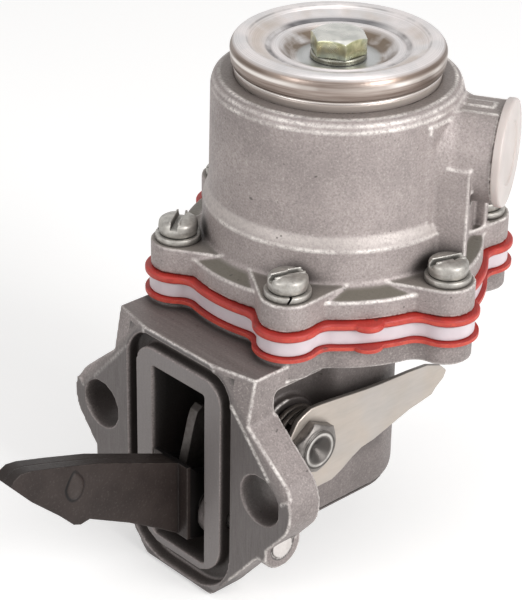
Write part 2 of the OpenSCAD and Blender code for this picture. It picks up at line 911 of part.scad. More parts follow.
module rod_seal() {
    color("#2f2d2c")
        on_axis()
            translate([0, 0, pocket_floor_z])
                difference() {
                    cylinder(r = pocket_r - 0.1, h = seal_t);
                    translate([0, 0, -over]) cylinder(r = rod_d / 2 + run_gap, h = 5);
                }
}

module seal_retainer() {
    color("#a5a4a0")
        on_axis()
            translate([0, 0, pocket_floor_z + seal_t])
                difference() {
                    cylinder(r = pocket_r - 0.1, h = retainer_t);
                    translate([0, 0, -over]) cylinder(r = rod_d / 2 + 0.4, h = 5);
                }
}

// Lever train

// Outer arm of the rocker, in y and z, up to the joggle
arm_outline = [
    [-43.8, 10.8], [-42.9, 11.9], [-41, 12.7], [-38.2, 12.4], [-31.2, 10.4], [-21.7, 7.3],
    [-9.3, 2.1], [-1.9, -1], [-1.9, -17.8], [-6.9, -14.4], [-14.6, -9.5],
    [-24.4, -4.2], [-26.6, -4.5], [-28.3, -3.8], [-31.6, -0.3], [-38.5, 5.7]
];

// Cheek of the rocker's fork, in y and z, round the pin
cheek_outline = [
    [-0.9, -1.2], [1, -3.2], [4, -4.4], [heel_y - 3, heel_z - 4], [heel_y - 1.6, heel_z + 2],
    [heel_y + 1.2, heel_z + 2], [heel_y + 2, heel_z], [heel_y + 1.6, heel_z - 8],
    [heel_y - 1, -17.4], [5, -19.6], [-0.9, -18.2]
];

// One plate of the rocker: outer arm, joggle and cheek, on the +X side
module rocker_plate() {
    difference() {
        union() {
            along_x(0.02, rocker_t) polygon(arm_outline);
            along_x(fork_gap, rocker_t) polygon(cheek_outline);
            // Joggle from the arm out to the cheek
            along_y(-1.9, 1.01)
                translate([0.02, -18]) square([fork_out - 0.02, 17]);
        }
        bar_x(pin_y, pin_z, bush_r, 0, fork_out + over);
        bar_x(heel_y, heel_z, heel_r, 0, fork_out + over);
    }
}

module rocker_plate_right() {
    color("#4a4441") rocker_plate();
}

module rocker_plate_left() {
    color("#45403d") mirror([1, 0, 0]) rocker_plate();
}

module rocker_heel() {
    color("#6b6663") bar_x(heel_y, heel_z, heel_r, -fork_out, fork_out);
}

module rocker_bush() {
    color("#8d8a80")
        difference() {
            bar_x(pin_y, pin_z, bush_r, -fork_out, fork_out);
            bar_x(pin_y, pin_z, pin_d / 2 + run_gap, -fork_out - over, fork_out + over);
        }
}

module rocker_pin() {
    color("#c4c2bd") bar_x(pin_y, pin_z, pin_d / 2, -pin_boss_x + 0.5, pin_boss_x + 0.3);
}

// Link lever, in y and z: hub, upstanding horn and the arm to the pull rod
module link_outline() {
    front = 0.4;
    difference() {
        union() {
            translate([pin_y, pin_z]) circle(r = link_hub_r);
            polygon([
                [front, -8], [2.4, -4.5], [4.7, 4.6], [5.5, 6.6], [6.8, 7.5], [8.1, 6.9],
                [heel_y - 2.5, 5.2], [heel_y - 2.9, heel_z - 1.8],
                [heel_y + 13, heel_z - 1.8], [axis_y - 3.6, tab_z + tab_t + 0.5],
                [axis_y - 3.6, tab_z], [heel_y + 4, -16], [pin_y, pin_z - link_hub_r]
            ]);
        }
        translate([front - 10, -40]) square([10, 35]);
    }
}

module link_lever() {
    color("#55504d")
        difference() {
            union() {
                along_x(-fork_gap + 0.2, link_t) link_outline();
                translate([-tab_half, axis_y - tab_depth / 2 - 0.1, tab_z])
                    cube([2 * tab_half, tab_depth, tab_t]);
            }
            // Slot that takes the pull rod, open at the back
            translate([-rod_d / 2 - 0.4, axis_y, tab_z - over])
                cube([rod_d + 0.8, 20, tab_t + 5]);
            translate([0, axis_y, tab_z - over]) cylinder(r = rod_d / 2 + 0.4, h = tab_t + 8);
            bar_x(pin_y, pin_z, bush_r + run_gap, -10, 10);
        }
}

module rocker_spring() {
    color("#9a9996")
        translate([fork_gap - 0.2, pin_y, pin_z])
            rotate([0, -90, 0])
                coil(3.8, 0.35, 2.2, 2, 20, 8);
}

// Priming lever

module priming_shaft() {
    flat = 1;
    shaft_end = -cavity_w / 2 - 1.2;
    color("#a9a6a0")
        difference() {
            union() {
                bar_x(shaft_y, shaft_z, shaft_d / 2, cavity_w / 2 - 0.2, lever_x - lever_t);
                bar_x(shaft_y, shaft_z, shaft_d / 2 - 1, -cavity_w / 2 + 0.2, cavity_w / 2);
                bar_x(shaft_y, shaft_z, shaft_d / 2 - 1.2, shaft_end, 0);
                translate([lever_x - lever_t, shaft_y, shaft_z])
                    rotate([0, 90, 0]) {
                        cylinder(r = hex_af / 2 - 1.2, h = lever_t + 0.1);
                        translate([0, 0, lever_t]) rotate([0, 0, 4]) hex_head(hex_af, 2.4);
                        translate([0, 0, lever_t + 2.3]) cylinder(r = hex_af / 2 - 0.9, h = 0.5);
                    }
            }
            // Half-moon flat that clears the link lever
            translate([-cavity_w / 2 + 0.2, shaft_y - 10, shaft_z - flat - 10])
                cube([cavity_w - 0.4, 20, 10]);
            // Conical centre in the hexagon end
            translate([lever_x + 1.2, shaft_y, shaft_z])
                rotate([0, 90, 0])
                    cylinder(r1 = 0.6, r2 = 2.9, h = 1.61);
        }
}

lever_outline = [
    [12.1, 3.6], [13.6, 6.5], [15.2, 8.9], [17, 9.9], [18.9, 10.6], [21.6, 10.5],
    [26.1, 10], [30, 9.5], [34, 9], [38.6, 8.6], [46.8, 8.2], [52.2, 7.7], [56.2, 6.2],
    [58.2, 4.3], [57.4, 2.7], [55.1, 1.1], [54, -0.1], [51, -0.6], [47.5, -1.1],
    [42.2, -2.6], [37, -4.1], [33.6, -4.6], [30.8, -5.9], [28, -7.6], [25.2, -8.8],
    [22.4, -8.8], [17.4, -8.8], [13.6, -6.2], [11.6, -2.4], [11.4, 0.8]
];

module priming_lever() {
    color("#bdb6ae")
        difference() {
            along_x(lever_x - lever_t, lever_t - 0.02) polygon(lever_outline);
            bar_x(shaft_y, shaft_z, hex_af / 2 - 1.15, 0, 30);
        }
}

module priming_spring() {
    color("#77736f")
        translate([shaft_boss_x + 0.05, shaft_y, shaft_z])
            rotate([0, 90, 0])
                coil(priming_spring_r, priming_wire_r, sleeve_x - shaft_boss_x - 0.1, 2.6);
}

module shaft_seal() {
    color("#2c2a29")
        difference() {
            bar_x(shaft_y, shaft_z, shaft_d / 2 + 0.9, sleeve_x + 0.02, lever_x - lever_t - 0.1);
            bar_x(shaft_y, shaft_z, shaft_d / 2 + run_gap, 0, 30);
        }
}

// Port plugs

module port_plug(side) {
    plug_r = 10.75;
    plug_t = 1.7;
    at_port(side)
        translate([0, 0, port_z])
            rotate([90, 0, 0])
                difference() {
                    union() {
                        translate([0, 0, port_reach + 0.02]) cylinder(r = plug_r, h = plug_t);
                        translate([0, 0, port_reach - 6])
                            cylinder(d = port_thread_d - 0.1, h = 6 + plug_t);
                    }
                    translate([0, 0, port_reach - 10])
                        cylinder(d = port_thread_d - 2.4, h = 10 + plug_t - 0.9);
                    translate([0, 0, port_reach + plug_t - 0.3]) cylinder(r = 6.4, h = 3);
                }
}

module inlet_plug() {
    color("#ece8e4") port_plug(-1);
}

module outlet_plug() {
    color("#ece8e4") port_plug(1);
}

lower_body();
upper_body();
spacer_ring();
upper_diaphragm();
lower_diaphragm();
body_screws();
spring_washers();
top_cover();
cover_seal();
cover_bolt();
bolt_washer();
filter_screen();
inlet_valve_seat();
inlet_valve_disc();
inlet_valve_spring();
outlet_valve_seat();
outlet_valve_disc();
outlet_valve_spring();
upper_plate();
middle_plate();
lower_plate();
pull_rod();
diaphragm_spring();
rod_seal();
seal_retainer();
rocker_plate_right();
rocker_plate_left();
rocker_heel();
rocker_bush();
rocker_pin();
link_lever();
rocker_spring();
priming_shaft();
priming_lever();
priming_spring();
shaft_seal();
inlet_plug();
outlet_plug();
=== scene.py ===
# Diaphragm fuel lift pump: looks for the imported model.
# Lengths are written in millimetres and turned to metres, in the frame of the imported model.
import json
import math
from contextlib import contextmanager

import bmesh
import bpy
from mathutils import Matrix, Vector
from mathutils.kdtree import KDTree


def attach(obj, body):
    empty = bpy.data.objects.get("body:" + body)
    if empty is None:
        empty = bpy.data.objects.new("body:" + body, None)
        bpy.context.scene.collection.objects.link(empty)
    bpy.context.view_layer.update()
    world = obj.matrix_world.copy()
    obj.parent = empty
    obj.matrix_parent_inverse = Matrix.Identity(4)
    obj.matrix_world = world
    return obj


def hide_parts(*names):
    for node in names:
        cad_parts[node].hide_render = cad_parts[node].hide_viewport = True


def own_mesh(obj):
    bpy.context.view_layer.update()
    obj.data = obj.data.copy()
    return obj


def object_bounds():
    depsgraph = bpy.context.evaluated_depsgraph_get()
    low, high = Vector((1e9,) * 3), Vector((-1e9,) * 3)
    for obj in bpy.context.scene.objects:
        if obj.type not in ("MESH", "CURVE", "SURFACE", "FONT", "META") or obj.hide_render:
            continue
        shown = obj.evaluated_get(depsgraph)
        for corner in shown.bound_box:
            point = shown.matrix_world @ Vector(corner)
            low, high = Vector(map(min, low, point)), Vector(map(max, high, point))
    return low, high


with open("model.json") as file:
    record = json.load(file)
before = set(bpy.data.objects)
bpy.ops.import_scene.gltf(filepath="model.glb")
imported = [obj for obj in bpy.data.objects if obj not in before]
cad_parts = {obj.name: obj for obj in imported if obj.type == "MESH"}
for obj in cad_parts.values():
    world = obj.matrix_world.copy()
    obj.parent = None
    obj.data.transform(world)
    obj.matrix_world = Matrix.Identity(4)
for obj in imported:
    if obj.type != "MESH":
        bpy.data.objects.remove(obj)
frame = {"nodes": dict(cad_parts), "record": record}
cad_low, cad_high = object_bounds()
nodes = frame["nodes"]

MM = 0.001
scene = bpy.context.scene
scene.view_settings.view_transform = "Standard"

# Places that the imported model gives, in millimetres
AXIS_Y = 41.5
BODY_TOP = 70.0
WELL = 73.3
PAD = 36.9
PORT_Z = 57.8
PORT_REACH = 33.4
SCREW_RING = 31.75
SCREW_ANGLES = (-150, -90, -30, 30, 90, 150)
SHAFT_Y, SHAFT_Z = 18.7, 2.4
LEVER_X = 18.5
PIN_Y, PIN_Z = 4.4, -11.4
HOLE_X = 24.0
HOLE_RADIUS = 5.45
HOUSING_FLOOR = -19.9

# Frames in the mounting face: half width, bottom and top
MOUTH = (7.85, -23.6, 16.5)
LIP = (12.6, -28.2, 20.0)
GROOVE = (15.4, -29.2, 22.8)
FACE_EDGE = 0.1

# Camera, as solved from the photograph's edges
CAMERA_SPOT = (0.277516, -0.238782, 0.232226)
CAMERA_PAN, CAMERA_TILT, CAMERA_ROLL = (math.radians(a) for a in (47.1009, 28.4196, 0.85175))
CAMERA_LENS = 130.343
CAMERA_SHIFT = (0.01795, 0.00041)


def place_camera():
    flat = math.cos(CAMERA_TILT)
    back = Vector((math.sin(CAMERA_PAN) * flat, -math.cos(CAMERA_PAN) * flat, math.sin(CAMERA_TILT)))
    level_right = Vector((math.cos(CAMERA_PAN), math.sin(CAMERA_PAN), 0))
    level_up = back.cross(level_right)
    right = level_right * math.cos(CAMERA_ROLL) + level_up * math.sin(CAMERA_ROLL)
    up = level_up * math.cos(CAMERA_ROLL) - level_right * math.sin(CAMERA_ROLL)
    lens = bpy.data.cameras.new("studio_camera")
    lens.sensor_fit = "AUTO"
    lens.sensor_width = 36
    lens.lens = CAMERA_LENS
    lens.shift_x, lens.shift_y = CAMERA_SHIFT
    lens.clip_start = 0.02
    lens.clip_end = 20
    camera = bpy.data.objects.new("studio_camera", lens)
    scene.collection.objects.link(camera)
    turn = Matrix((right, up, back)).transposed().to_4x4()
    camera.matrix_world = Matrix.Translation(CAMERA_SPOT) @ turn
    scene.camera = camera


place_camera()


# A node tree, with the small sums that looks are made of
class Wiring:
    def __init__(self, tree):
        self.tree = tree
        tree.nodes.clear()

    # Gives each named input a wire, or a plain value
    def feed(self, node, wires):
        for name, value in wires.items():
            socket = node.inputs[name]
            if isinstance(value, bpy.types.NodeSocket):
                self.tree.links.new(value, socket)
            elif socket.type == "RGBA":
                socket.default_value = (*value, 1.0)
            else:
                socket.default_value = value

    def put(self, kind, wires=None, **settings):
        node = self.tree.nodes.new(kind)
        for name, value in settings.items():
            setattr(node, name, value)
        self.feed(node, wires or {})
        return node

    def maths(self, how, a, b=0.0):
        return self.put("ShaderNodeMath", {0: a, 1: b}, operation=how).outputs[0]

    def product(self, *values):
        result = values[0]
        for value in values[1:]:
            result = self.maths("MULTIPLY", result, value)
        return result

    def ranged(self, value, low, high, to_low=0.0, to_high=1.0):
        return self.put("ShaderNodeMapRange", {
            "Value": value, "From Min": low, "From Max": high,
            "To Min": to_low, "To Max": to_high}, clamp=True).outputs["Result"]

    # 1 between two values, fading out over a soft margin
    def within(self, value, low, high, soft):
        return self.product(self.ranged(value, low - soft, low), self.ranged(value, high + soft, high))

    def mixed(self, amount, first, second):
        return self.put("ShaderNodeMix", {0: amount, 6: first, 7: second},
                        data_type="RGBA", clamp_factor=True).outputs[2]

    # How long the slope over two sides is
    def length(self, across, up):
        pair = self.put("ShaderNodeCombineXYZ", {"X": across, "Z": up}).outputs[0]
        return self.put("ShaderNodeVectorMath", {0: pair}, operation="LENGTH").outputs["Value"]


# One finish: colour is what has been laid so far, on places of the piece itself
class Finish(Wiring):
    def __init__(self, name):
        self.material = bpy.data.materials.new(name)
        self.material.use_nodes = True
        super().__init__(self.material.node_tree)
        self.name = name
        self.skin = self.put("ShaderNodeBsdfPrincipled")
        self.put("ShaderNodeOutputMaterial", {"Surface": self.skin.outputs["BSDF"]})
        self.place = self.put("ShaderNodeTexCoord").outputs["Object"]
        self.colour = None

    # Lays a tone over the colour, as strongly as the amounts multiply to
    def lay(self, tone, *amounts):
        self.colour = self.mixed(self.product(*amounts), self.colour, tone)

    def squeezed(self, *scale):
        return self.put("ShaderNodeMapping", {"Vector": self.place, "Scale": scale}).outputs[0]

    def noise(self, size_mm, detail=2.0, rough=0.55, place=None):
        return self.put("ShaderNodeTexNoise", {
            "Vector": place or self.place, "Scale": 1000.0 / size_mm,
            "Detail": detail, "Roughness": rough}).outputs["Fac"]

    # One coordinate of the place, in millimetres
    def reading(self, letter):
        parts = self.put("ShaderNodeSeparateXYZ", {"Vector": self.place})
        return self.maths("MULTIPLY", parts.outputs[letter], 1000.0)

    # Which way the surface faces, as one number per direction
    def facing(self, letter):
        way = self.put("ShaderNodeTexCoord").outputs["Normal"]
        return self.put("ShaderNodeSeparateXYZ", {"Vector": way}).outputs[letter]

    # Millimetres from a line through a spot; the mask leaves out the line's own direction
    def from_line(self, spot, mask):
        centred = self.put("ShaderNodeMapping", {
            "Vector": self.place, "Location": [-c * MM for c in spot]}).outputs[0]
        flat = self.put("ShaderNodeVectorMath", {0: centred, 1: mask}, operation="MULTIPLY").outputs[0]
        metres = self.put("ShaderNodeVectorMath", {0: flat}, operation="LENGTH").outputs["Value"]
        return self.maths("MULTIPLY", metres, 1000.0)

    # How open a spot is to its surroundings: 0 in a deep corner, 1 in the open
    def openness(self, reach_mm):
        return self.put("ShaderNodeAmbientOcclusion", {"Distance": reach_mm * MM}, samples=8).outputs["AO"]

    def shade_corners(self, tone, reach_mm, low, high, strength):
        self.lay(tone, self.ranged(self.openness(reach_mm), low, high, strength, 0))

    # Softened edge of a radius, and how strongly the surface turns there
    def edge_of(self, radius_mm):
        soft = self.put("ShaderNodeBevel", {"Radius": radius_mm * MM}, samples=6).outputs["Normal"]
        face = self.put("ShaderNodeNewGeometry").outputs["Normal"]
        agree = self.put("ShaderNodeVectorMath", {0: soft, 1: face}, operation="DOT_PRODUCT").outputs["Value"]
        return soft, self.ranged(self.maths("SUBTRACT", 1.0, agree), 0.02, 0.3)

    def bumped(self, height, depth_mm, strength, under=None):
        wires = {"Height": height, "Distance": depth_mm * MM, "Strength": strength}
        if under:
            wires["Normal"] = under
        return self.put("ShaderNodeBump", wires).outputs["Normal"]

    # Feeds the shader and keeps the finish under its name
    def done(self, metal, rough, bump, **others):
        self.feed(self.skin, {"Base Color": self.colour, "Metallic": metal, "Roughness": rough,
                              "Normal": bump, **{k.replace("_", " "): v for k, v in others.items()}})
        finishes[self.name] = self.material


finishes = {}


def scaled(tone, share):
    return [share * c for c in tone]


# Gravity cast light alloy: fine bright grain, small dark pits, painted shade in corners and on faces that
# look down, and rubbed edges brightened further by a painted highlight
def cast_alloy(name, light, dark, touches, shade_mm=9):
    f = Finish(name)
    grain = f.noise(0.42, 2, 0.65)
    coarse = f.noise(1.9, 2)
    f.colour = f.mixed(f.ranged(f.noise(11, 4, 0.6), 0.35, 0.65), dark, light)
    f.lay(scaled(dark, 0.72), f.ranged(coarse, 0.3, 0.7, 0, 0.25))
    f.lay(scaled(dark, 0.6), f.ranged(grain, 0.50, 0.30, 0, 0.5))
    f.lay((0.66, 0.61, 0.56), f.ranged(grain, 0.56, 0.76, 0, 0.34))
    touches(f)
    pits = f.ranged(f.noise(1.3, 1), 0.25, 0.20, 0, 0.7)
    f.lay((0.06, 0.052, 0.046), pits)
    # Painted shade in corners near and far, weaker just below the cover, and on faces that look down
    below_cover = f.ranged(f.reading("Z"), BODY_TOP - 1, BODY_TOP - 0.5, 1, 0.15)
    f.lay((0.040, 0.036, 0.034), f.ranged(f.openness(3.5), 0.8, 0.25), below_cover, 0.8)
    shaded_underside = f.ranged(f.facing("Z"), -0.4, -0.95, 0, 0.35)
    f.lay((0.085, 0.072, 0.065), shaded_underside)
    f.lay((0.048, 0.038, 0.034), f.ranged(f.openness(shade_mm), 0.62, 0.15), below_cover, 0.85)
    # Rubbed wear on the sharp outer edges, brightened further as a painted highlight, weaker towards the left
    worn_and_lit = f.put("ShaderNodeAttribute", attribute_name="wear_and_highlight").outputs["Fac"]
    patches = f.ranged(f.noise(0.7, 3, 0.75), 0.36, 0.56, 0.15, 1)
    long_patches = f.ranged(f.noise(6, 2), 0.35, 0.6, 0.35, 1)
    left = f.ranged(f.reading("X"), -14, -6, 0.35, 1)
    f.lay((0.86, 0.81, 0.77), f.ranged(worn_and_lit, 0.4, 0.9), patches, long_patches, left)
    height = f.maths("ADD", grain, f.product(coarse, 0.5))
    f.done(0.25, f.ranged(grain, 0.3, 0.7, 0.62, 0.44), f.bumped(height, 0.10, 0.6))


# Marks of the lower casting: milled mounting face, and painted shade on that face, on the top, in the mouth,
# the groove and the holes, on the housing and in the gap round the pin
def lower_touches(f):
    across = f.maths("ABSOLUTE", f.reading("X"))
    depth = f.reading("Y")
    level = f.reading("Z")

    def framed(half, bottom, top):
        return f.product(f.within(across, -1, half, FACE_EDGE), f.within(level, bottom, top, FACE_EDGE))

    # Milled mounting face: milling marks and a lighter lip, on a tone kept dark as painted shade
    milling = f.noise(0.5, 3, 0.6, f.squeezed(1, 1, 0.08))
    milled_and_shaded = f.mixed(f.ranged(milling, 0.35, 0.65), (0.104, 0.091, 0.088), (0.138, 0.124, 0.12))
    milled_and_shaded = f.mixed(f.product(framed(*LIP), 0.6), milled_and_shaded, (0.27, 0.247, 0.242))
    on_face = f.ranged(f.facing("Y"), -0.93, -0.99)
    f.lay(milled_and_shaded, on_face, f.ranged(depth, 0.6, 0.3), 0.92)

    # Painted shade on the upward faces of the top, with streaks and specks
    streaks = f.noise(0.9, 3, 0.6, f.squeezed(0.06, 1, 1))
    specks = f.ranged(f.noise(0.5, 2, 0.7), 0.5, 0.72, 0, 0.35)
    shaded_top = f.mixed(f.ranged(streaks, 0.35, 0.65), (0.125, 0.106, 0.099), (0.165, 0.142, 0.134))
    shaded_top = f.mixed(specks, shaded_top, (0.30, 0.265, 0.25))
    on_top = f.ranged(f.facing("Z"), 0.8, 0.96)
    f.lay(shaded_top, on_top, f.ranged(level, 22.5, 23.4, 0.25, 0.95))

    # Shadow that the lever and its hub leave on the housing
    beside_hub = f.product(f.within(f.reading("X"), 6, 15.5, 1), f.within(depth, 8.8, 44, 1.5),
                           f.ranged(f.facing("Z"), -0.5, 0))
    above_lever = f.maths("SUBTRACT", level, f.maths("ADD", f.product(depth, -0.16), 8.4))
    f.lay((0.018, 0.015, 0.0145), beside_hub, f.within(above_lever, -9, 3, 4.5),
          f.ranged(depth, 48, 32, 0.25, 0.9))

    # Painted shade: the mouth is dark inside, but not the back and the underside of the housing
    above_floor = f.ranged(level, HOUSING_FLOOR - 0.7, HOUSING_FLOOR - 0.1)
    indoors = f.maths("MAXIMUM", f.ranged(depth, 14, 12), above_floor)
    f.lay((0.016, 0.015, 0.014), framed(*MOUTH), f.ranged(depth, 0.3, 3, 0, 0.96),
          f.ranged(depth, 51.5, 50.5), indoors)
    # Painted shade in the groove, except on its upward faces
    in_groove = f.product(framed(*GROOVE), f.within(depth, 0.9, 3.3, 0.5))
    f.lay((0.045, 0.041, 0.039), in_groove, f.ranged(f.facing("Z"), 0.5, 0.2, 0, 0.8))

    # Painted shade inside the mounting holes, darker further in
    from_hole = f.length(f.maths("SUBTRACT", across, HOLE_X), level)
    shaded_bore = f.ranged(from_hole, HOLE_RADIUS + 0.15, HOLE_RADIUS)
    f.lay((0.055, 0.048, 0.045), shaded_bore, f.ranged(depth, 0.2, 2.5, 0.15, 0.72))
    # Painted shade on the housing under the flange
    housing_shade = f.product(f.within(across, 4, 15, 1), f.ranged(depth, 11, 14), f.ranged(level, 20, 17))
    f.lay((0.105, 0.090, 0.086), housing_shade, 0.42)
    # Painted shadow in the gap round the pin ends
    from_pin = f.length(f.maths("SUBTRACT", depth, PIN_Y), f.maths("SUBTRACT", level, PIN_Z))
    pin_gap_shadow = f.within(from_pin, 1.5, 3, 0.2)
    f.lay((0.022, 0.019, 0.018), pin_gap_shadow, f.ranged(across, 24.5, 25.5))


# Marks of the upper casting: a painted highlight on the shoulder ring, and painted shade on upward faces at
# the pads, in the hollows below them and on the crown
def upper_touches(f):
    level = f.reading("Z")
    slope = f.facing("Z")
    # Painted highlight on the bevel of the shoulder ring, broken up by noise
    ring = f.product(f.within(level, PAD + 7.2, PAD + 9.2, 1), f.ranged(slope, 0.12, 0.4))
    f.lay((0.58, 0.53, 0.50), ring, f.ranged(f.noise(0.8, 3, 0.7), 0.3, 0.6, 0.25, 0.62))
    # Painted shade on the upward faces: at the pads, in the hollows below them and on the crown
    pads = f.ranged(level, PAD + 0.6, PAD + 0.2, 0.4, 0.85)
    f.lay((0.20, 0.178, 0.155), pads, f.ranged(slope, 0.8, 0.95))
    hollows = f.ranged(level, PAD - 0.25, PAD - 0.6, 0, 0.75)
    f.lay((0.115, 0.103, 0.078), hollows, f.ranged(slope, 0.75, 0.93))
    crown = f.ranged(level, BODY_TOP - 0.8, BODY_TOP - 0.3)
    f.lay((0.15, 0.128, 0.118), crown, f.ranged(slope, 0.7, 0.95), 0.45)


# Plated or bare steel: satin, with faint drawn scratches and a tint that wanders
def plated_steel(name, tone, tint, rough=0.32, metal=0.9, edge_light=(0.8, 0.78, 0.74),
                 soft_mm=0.35, wander_mm=6, shaded_within=None):
    f = Finish(name)
    fine = f.noise(1, 3, 0.65)
    f.colour = f.mixed(f.ranged(f.noise(wander_mm, 3), 0.38, 0.62), tone, tint)
    f.lay(edge_light, f.ranged(fine, 0.35, 0.7, 0, 0.4))
    soft, rubbed = f.edge_of(soft_mm)
    f.lay(edge_light, rubbed, 0.6)
    f.shade_corners((0.05, 0.045, 0.04), 2.5, 0.2, 0.7, 0.75)
    # Painted shade on the part nearer the middle plane than the given distance
    if shaded_within:
        across = f.maths("ABSOLUTE", f.reading("X"))
        f.lay((0.055, 0.050, 0.044), f.ranged(across, shaded_within, shaded_within - 0.5, 0, 0.9))
    f.done(metal, f.ranged(fine, 0.3, 0.7, rough + 0.1, rough - 0.06), f.bumped(fine, 0.12, 0.3, soft))


# Red rubber-coated cloth, with a paler cut edge and small rubbed marks
def coated_cloth(name):
    f = Finish(name)
    cut_edge = f.mixed(f.ranged(f.noise(1.5, 2), 0.35, 0.65), (0.55, 0.068, 0.043), (0.43, 0.042, 0.030))
    face = f.mixed(f.ranged(f.noise(5, 3), 0.4, 0.6), (0.46, 0.034, 0.024), (0.36, 0.025, 0.02))
    f.colour = f.mixed(f.ranged(f.maths("ABSOLUTE", f.facing("Z")), 0.28, 0.12), face, cut_edge)
    f.lay((0.13, 0.045, 0.035), f.ranged(f.noise(3.2, 3, 0.6), 0.64, 0.74, 0, 0.7))
    fray = f.ranged(f.noise(0.9, 3, 0.7), 0.42, 0.62, 0, 0.6)
    f.lay((0.72, 0.36, 0.26), f.edge_of(0.3)[1], fray)
    weave = f.put("ShaderNodeTexWave", {
        "Vector": f.place, "Scale": 900.0, "Distortion": 0.6}, bands_direction="DIAGONAL").outputs["Fac"]
    f.done(0, 0.48, f.bumped(weave, 0.05, 0.35))


# Moulded plastic that lets a little light in
def moulded_plastic(name, tone, shade, rough=0.38, depth=0.25):
    f = Finish(name)
    f.colour = f.mixed(f.ranged(f.noise(9, 3), 0.35, 0.65), tone, shade)
    f.shade_corners((0.30, 0.225, 0.22), 2, 0.3, 0.85, 0.6)
    soft, turned_edge = f.edge_of(0.3)
    f.lay(scaled(shade, 0.72), turned_edge, 0.35)
    f.done(0, rough, f.bumped(f.noise(2.5, 2), 0.03, 0.1, soft), Subsurface_Weight=depth,
           Subsurface_Radius=(1, 0.8, 0.8), Subsurface_Scale=1.2 * MM)


# Black nitrile rubber, faintly dusty
def black_rubber(name):
    f = Finish(name)
    f.colour = f.mixed(f.ranged(f.noise(3, 3), 0.45, 0.7), (0.012, 0.012, 0.013), (0.05, 0.048, 0.046))
    f.done(0, 0.55, f.bumped(f.noise(0.5, 2), 0.04, 0.2))


# Fine woven gauze
def woven_gauze(name):
    f = Finish(name)
    across, along = (f.put("ShaderNodeTexWave", {"Vector": f.place, "Scale": 700.0},
                           bands_direction=way).outputs["Fac"] for way in "XZ")
    mesh = f.maths("MAXIMUM", across, along)
    f.colour = f.mixed(f.ranged(mesh, 0.5, 0.8), (0.03, 0.022, 0.012), (0.62, 0.45, 0.2))
    f.done(0.9, 0.38, f.bumped(mesh, 0.12, 0.6))


# Passivated zinc on the pressed cover: rings and brown stains that follow the pressing, with painted
# reflections, highlights and shade
def passivated_cover(name):
    f = Finish(name)
    reach = f.from_line((0, AXIS_Y, 0), (1, 1, 0))
    level = f.reading("Z")
    rings = f.put("ShaderNodeTexNoise", {
        "W": f.product(reach, 1.6), "Detail": 3.0}, noise_dimensions="1D").outputs["Fac"]
    bands = f.noise(0.9, 3, 0.65, f.squeezed(0.04, 0.04, 1))
    clouds = f.noise(8, 3, 0.6)

    f.colour = f.mixed(f.ranged(clouds, 0.4, 0.62), (0.78, 0.73, 0.72), (0.66, 0.64, 0.64))
    f.lay((0.42, 0.385, 0.37), f.ranged(rings, 0.44, 0.62, 0, 0.4))
    stains = f.ranged(f.noise(9, 2), 0.44, 0.64)
    f.lay((0.42, 0.32, 0.235), stains, f.within(reach, 15.6, 16.6, 1.8), 0.5)
    # Painted dark reflection in the groove, stronger on the far side
    groove_reflection = f.within(reach, 13.4, 14.1, 0.5)
    f.lay((0.105, 0.098, 0.10), groove_reflection, f.ranged(clouds, 0.38, 0.58, 0.85, 0.12))
    far = f.maths("ADD", f.product(f.reading("X"), -0.73),
                  f.product(f.maths("SUBTRACT", f.reading("Y"), AXIS_Y), 0.68))
    reflection_crescent = f.within(reach, 13.2, 14.3, 0.6)
    f.lay((0.10, 0.098, 0.105), reflection_crescent, f.ranged(far, 8.5, 12.5, 0, 0.85))
    # Brown stain on the well wall, darkened further as a painted reflection
    well_stain_and_reflection = f.within(reach, 7.6, 10.8, 1.2)
    f.lay((0.16, 0.115, 0.075), well_stain_and_reflection, f.ranged(clouds, 0.60, 0.44, 0.1, 0.92))
    well_floor = f.ranged(reach, 8.6, 7.8, 0, 0.75)
    f.lay((0.44, 0.46, 0.46), well_floor)
    fine_line = f.within(reach, 17.75, 17.95, 0.12)
    f.lay((0.20, 0.185, 0.18), fine_line, f.ranged(clouds, 0.4, 0.6, 0.1, 0.6))
    top = f.colour

    # The side from the rolled rim down to the lip, by the height of each band: brown streaks on a tone kept
    # darker than the top as a painted reflection, a painted shadow line and a painted highlight line on the
    # roll, a painted highlight on the lip's edge, the lip's own tone, and painted shade at its foot
    broken = f.ranged(f.noise(14, 2), 0.42, 0.6, 0.2, 1)
    f.colour = f.mixed(f.ranged(bands, 0.36, 0.64), (0.19, 0.14, 0.115), (0.40, 0.34, 0.305))
    shadow_line = f.within(level, 75.75, 76, 0.35)
    f.lay((0.17, 0.13, 0.105), shadow_line, broken)
    highlight_line = f.within(level, 74.7, 75.1, 0.35)
    f.lay((0.78, 0.73, 0.69), highlight_line, broken)
    lip_highlight = f.within(level, 71.75, 71.95, 0.18)
    f.lay((0.78, 0.74, 0.70), lip_highlight)
    lip = f.ranged(level, 71.7, 71.3, 0, 0.85)
    f.lay((0.50, 0.44, 0.40), lip)
    shaded_lip_foot = f.ranged(level, 71, 70.2, 0, 0.8)
    f.lay((0.27, 0.235, 0.215), shaded_lip_foot)

    on_side = f.product(f.ranged(f.facing("Z"), 0.80, 0.55), f.ranged(reach, 18.6, 19.2))
    f.colour = f.mixed(on_side, top, f.colour)
    # Painted shade in the corners low on the cover
    corner = f.ranged(f.openness(1.2), 0.7, 0.2)
    f.lay((0.10, 0.08, 0.07), corner, f.ranged(level, 70.8, 71.4, 0.1, 0.6))
    height = f.maths("ADD", rings, f.product(f.noise(2.2, 3), 1.6))
    f.done(f.ranged(level, 71.3, 71.8, 0.35, 0.9), f.ranged(rings, 0.3, 0.7, 0.28, 0.4),
           f.bumped(height, 0.06, 0.35))


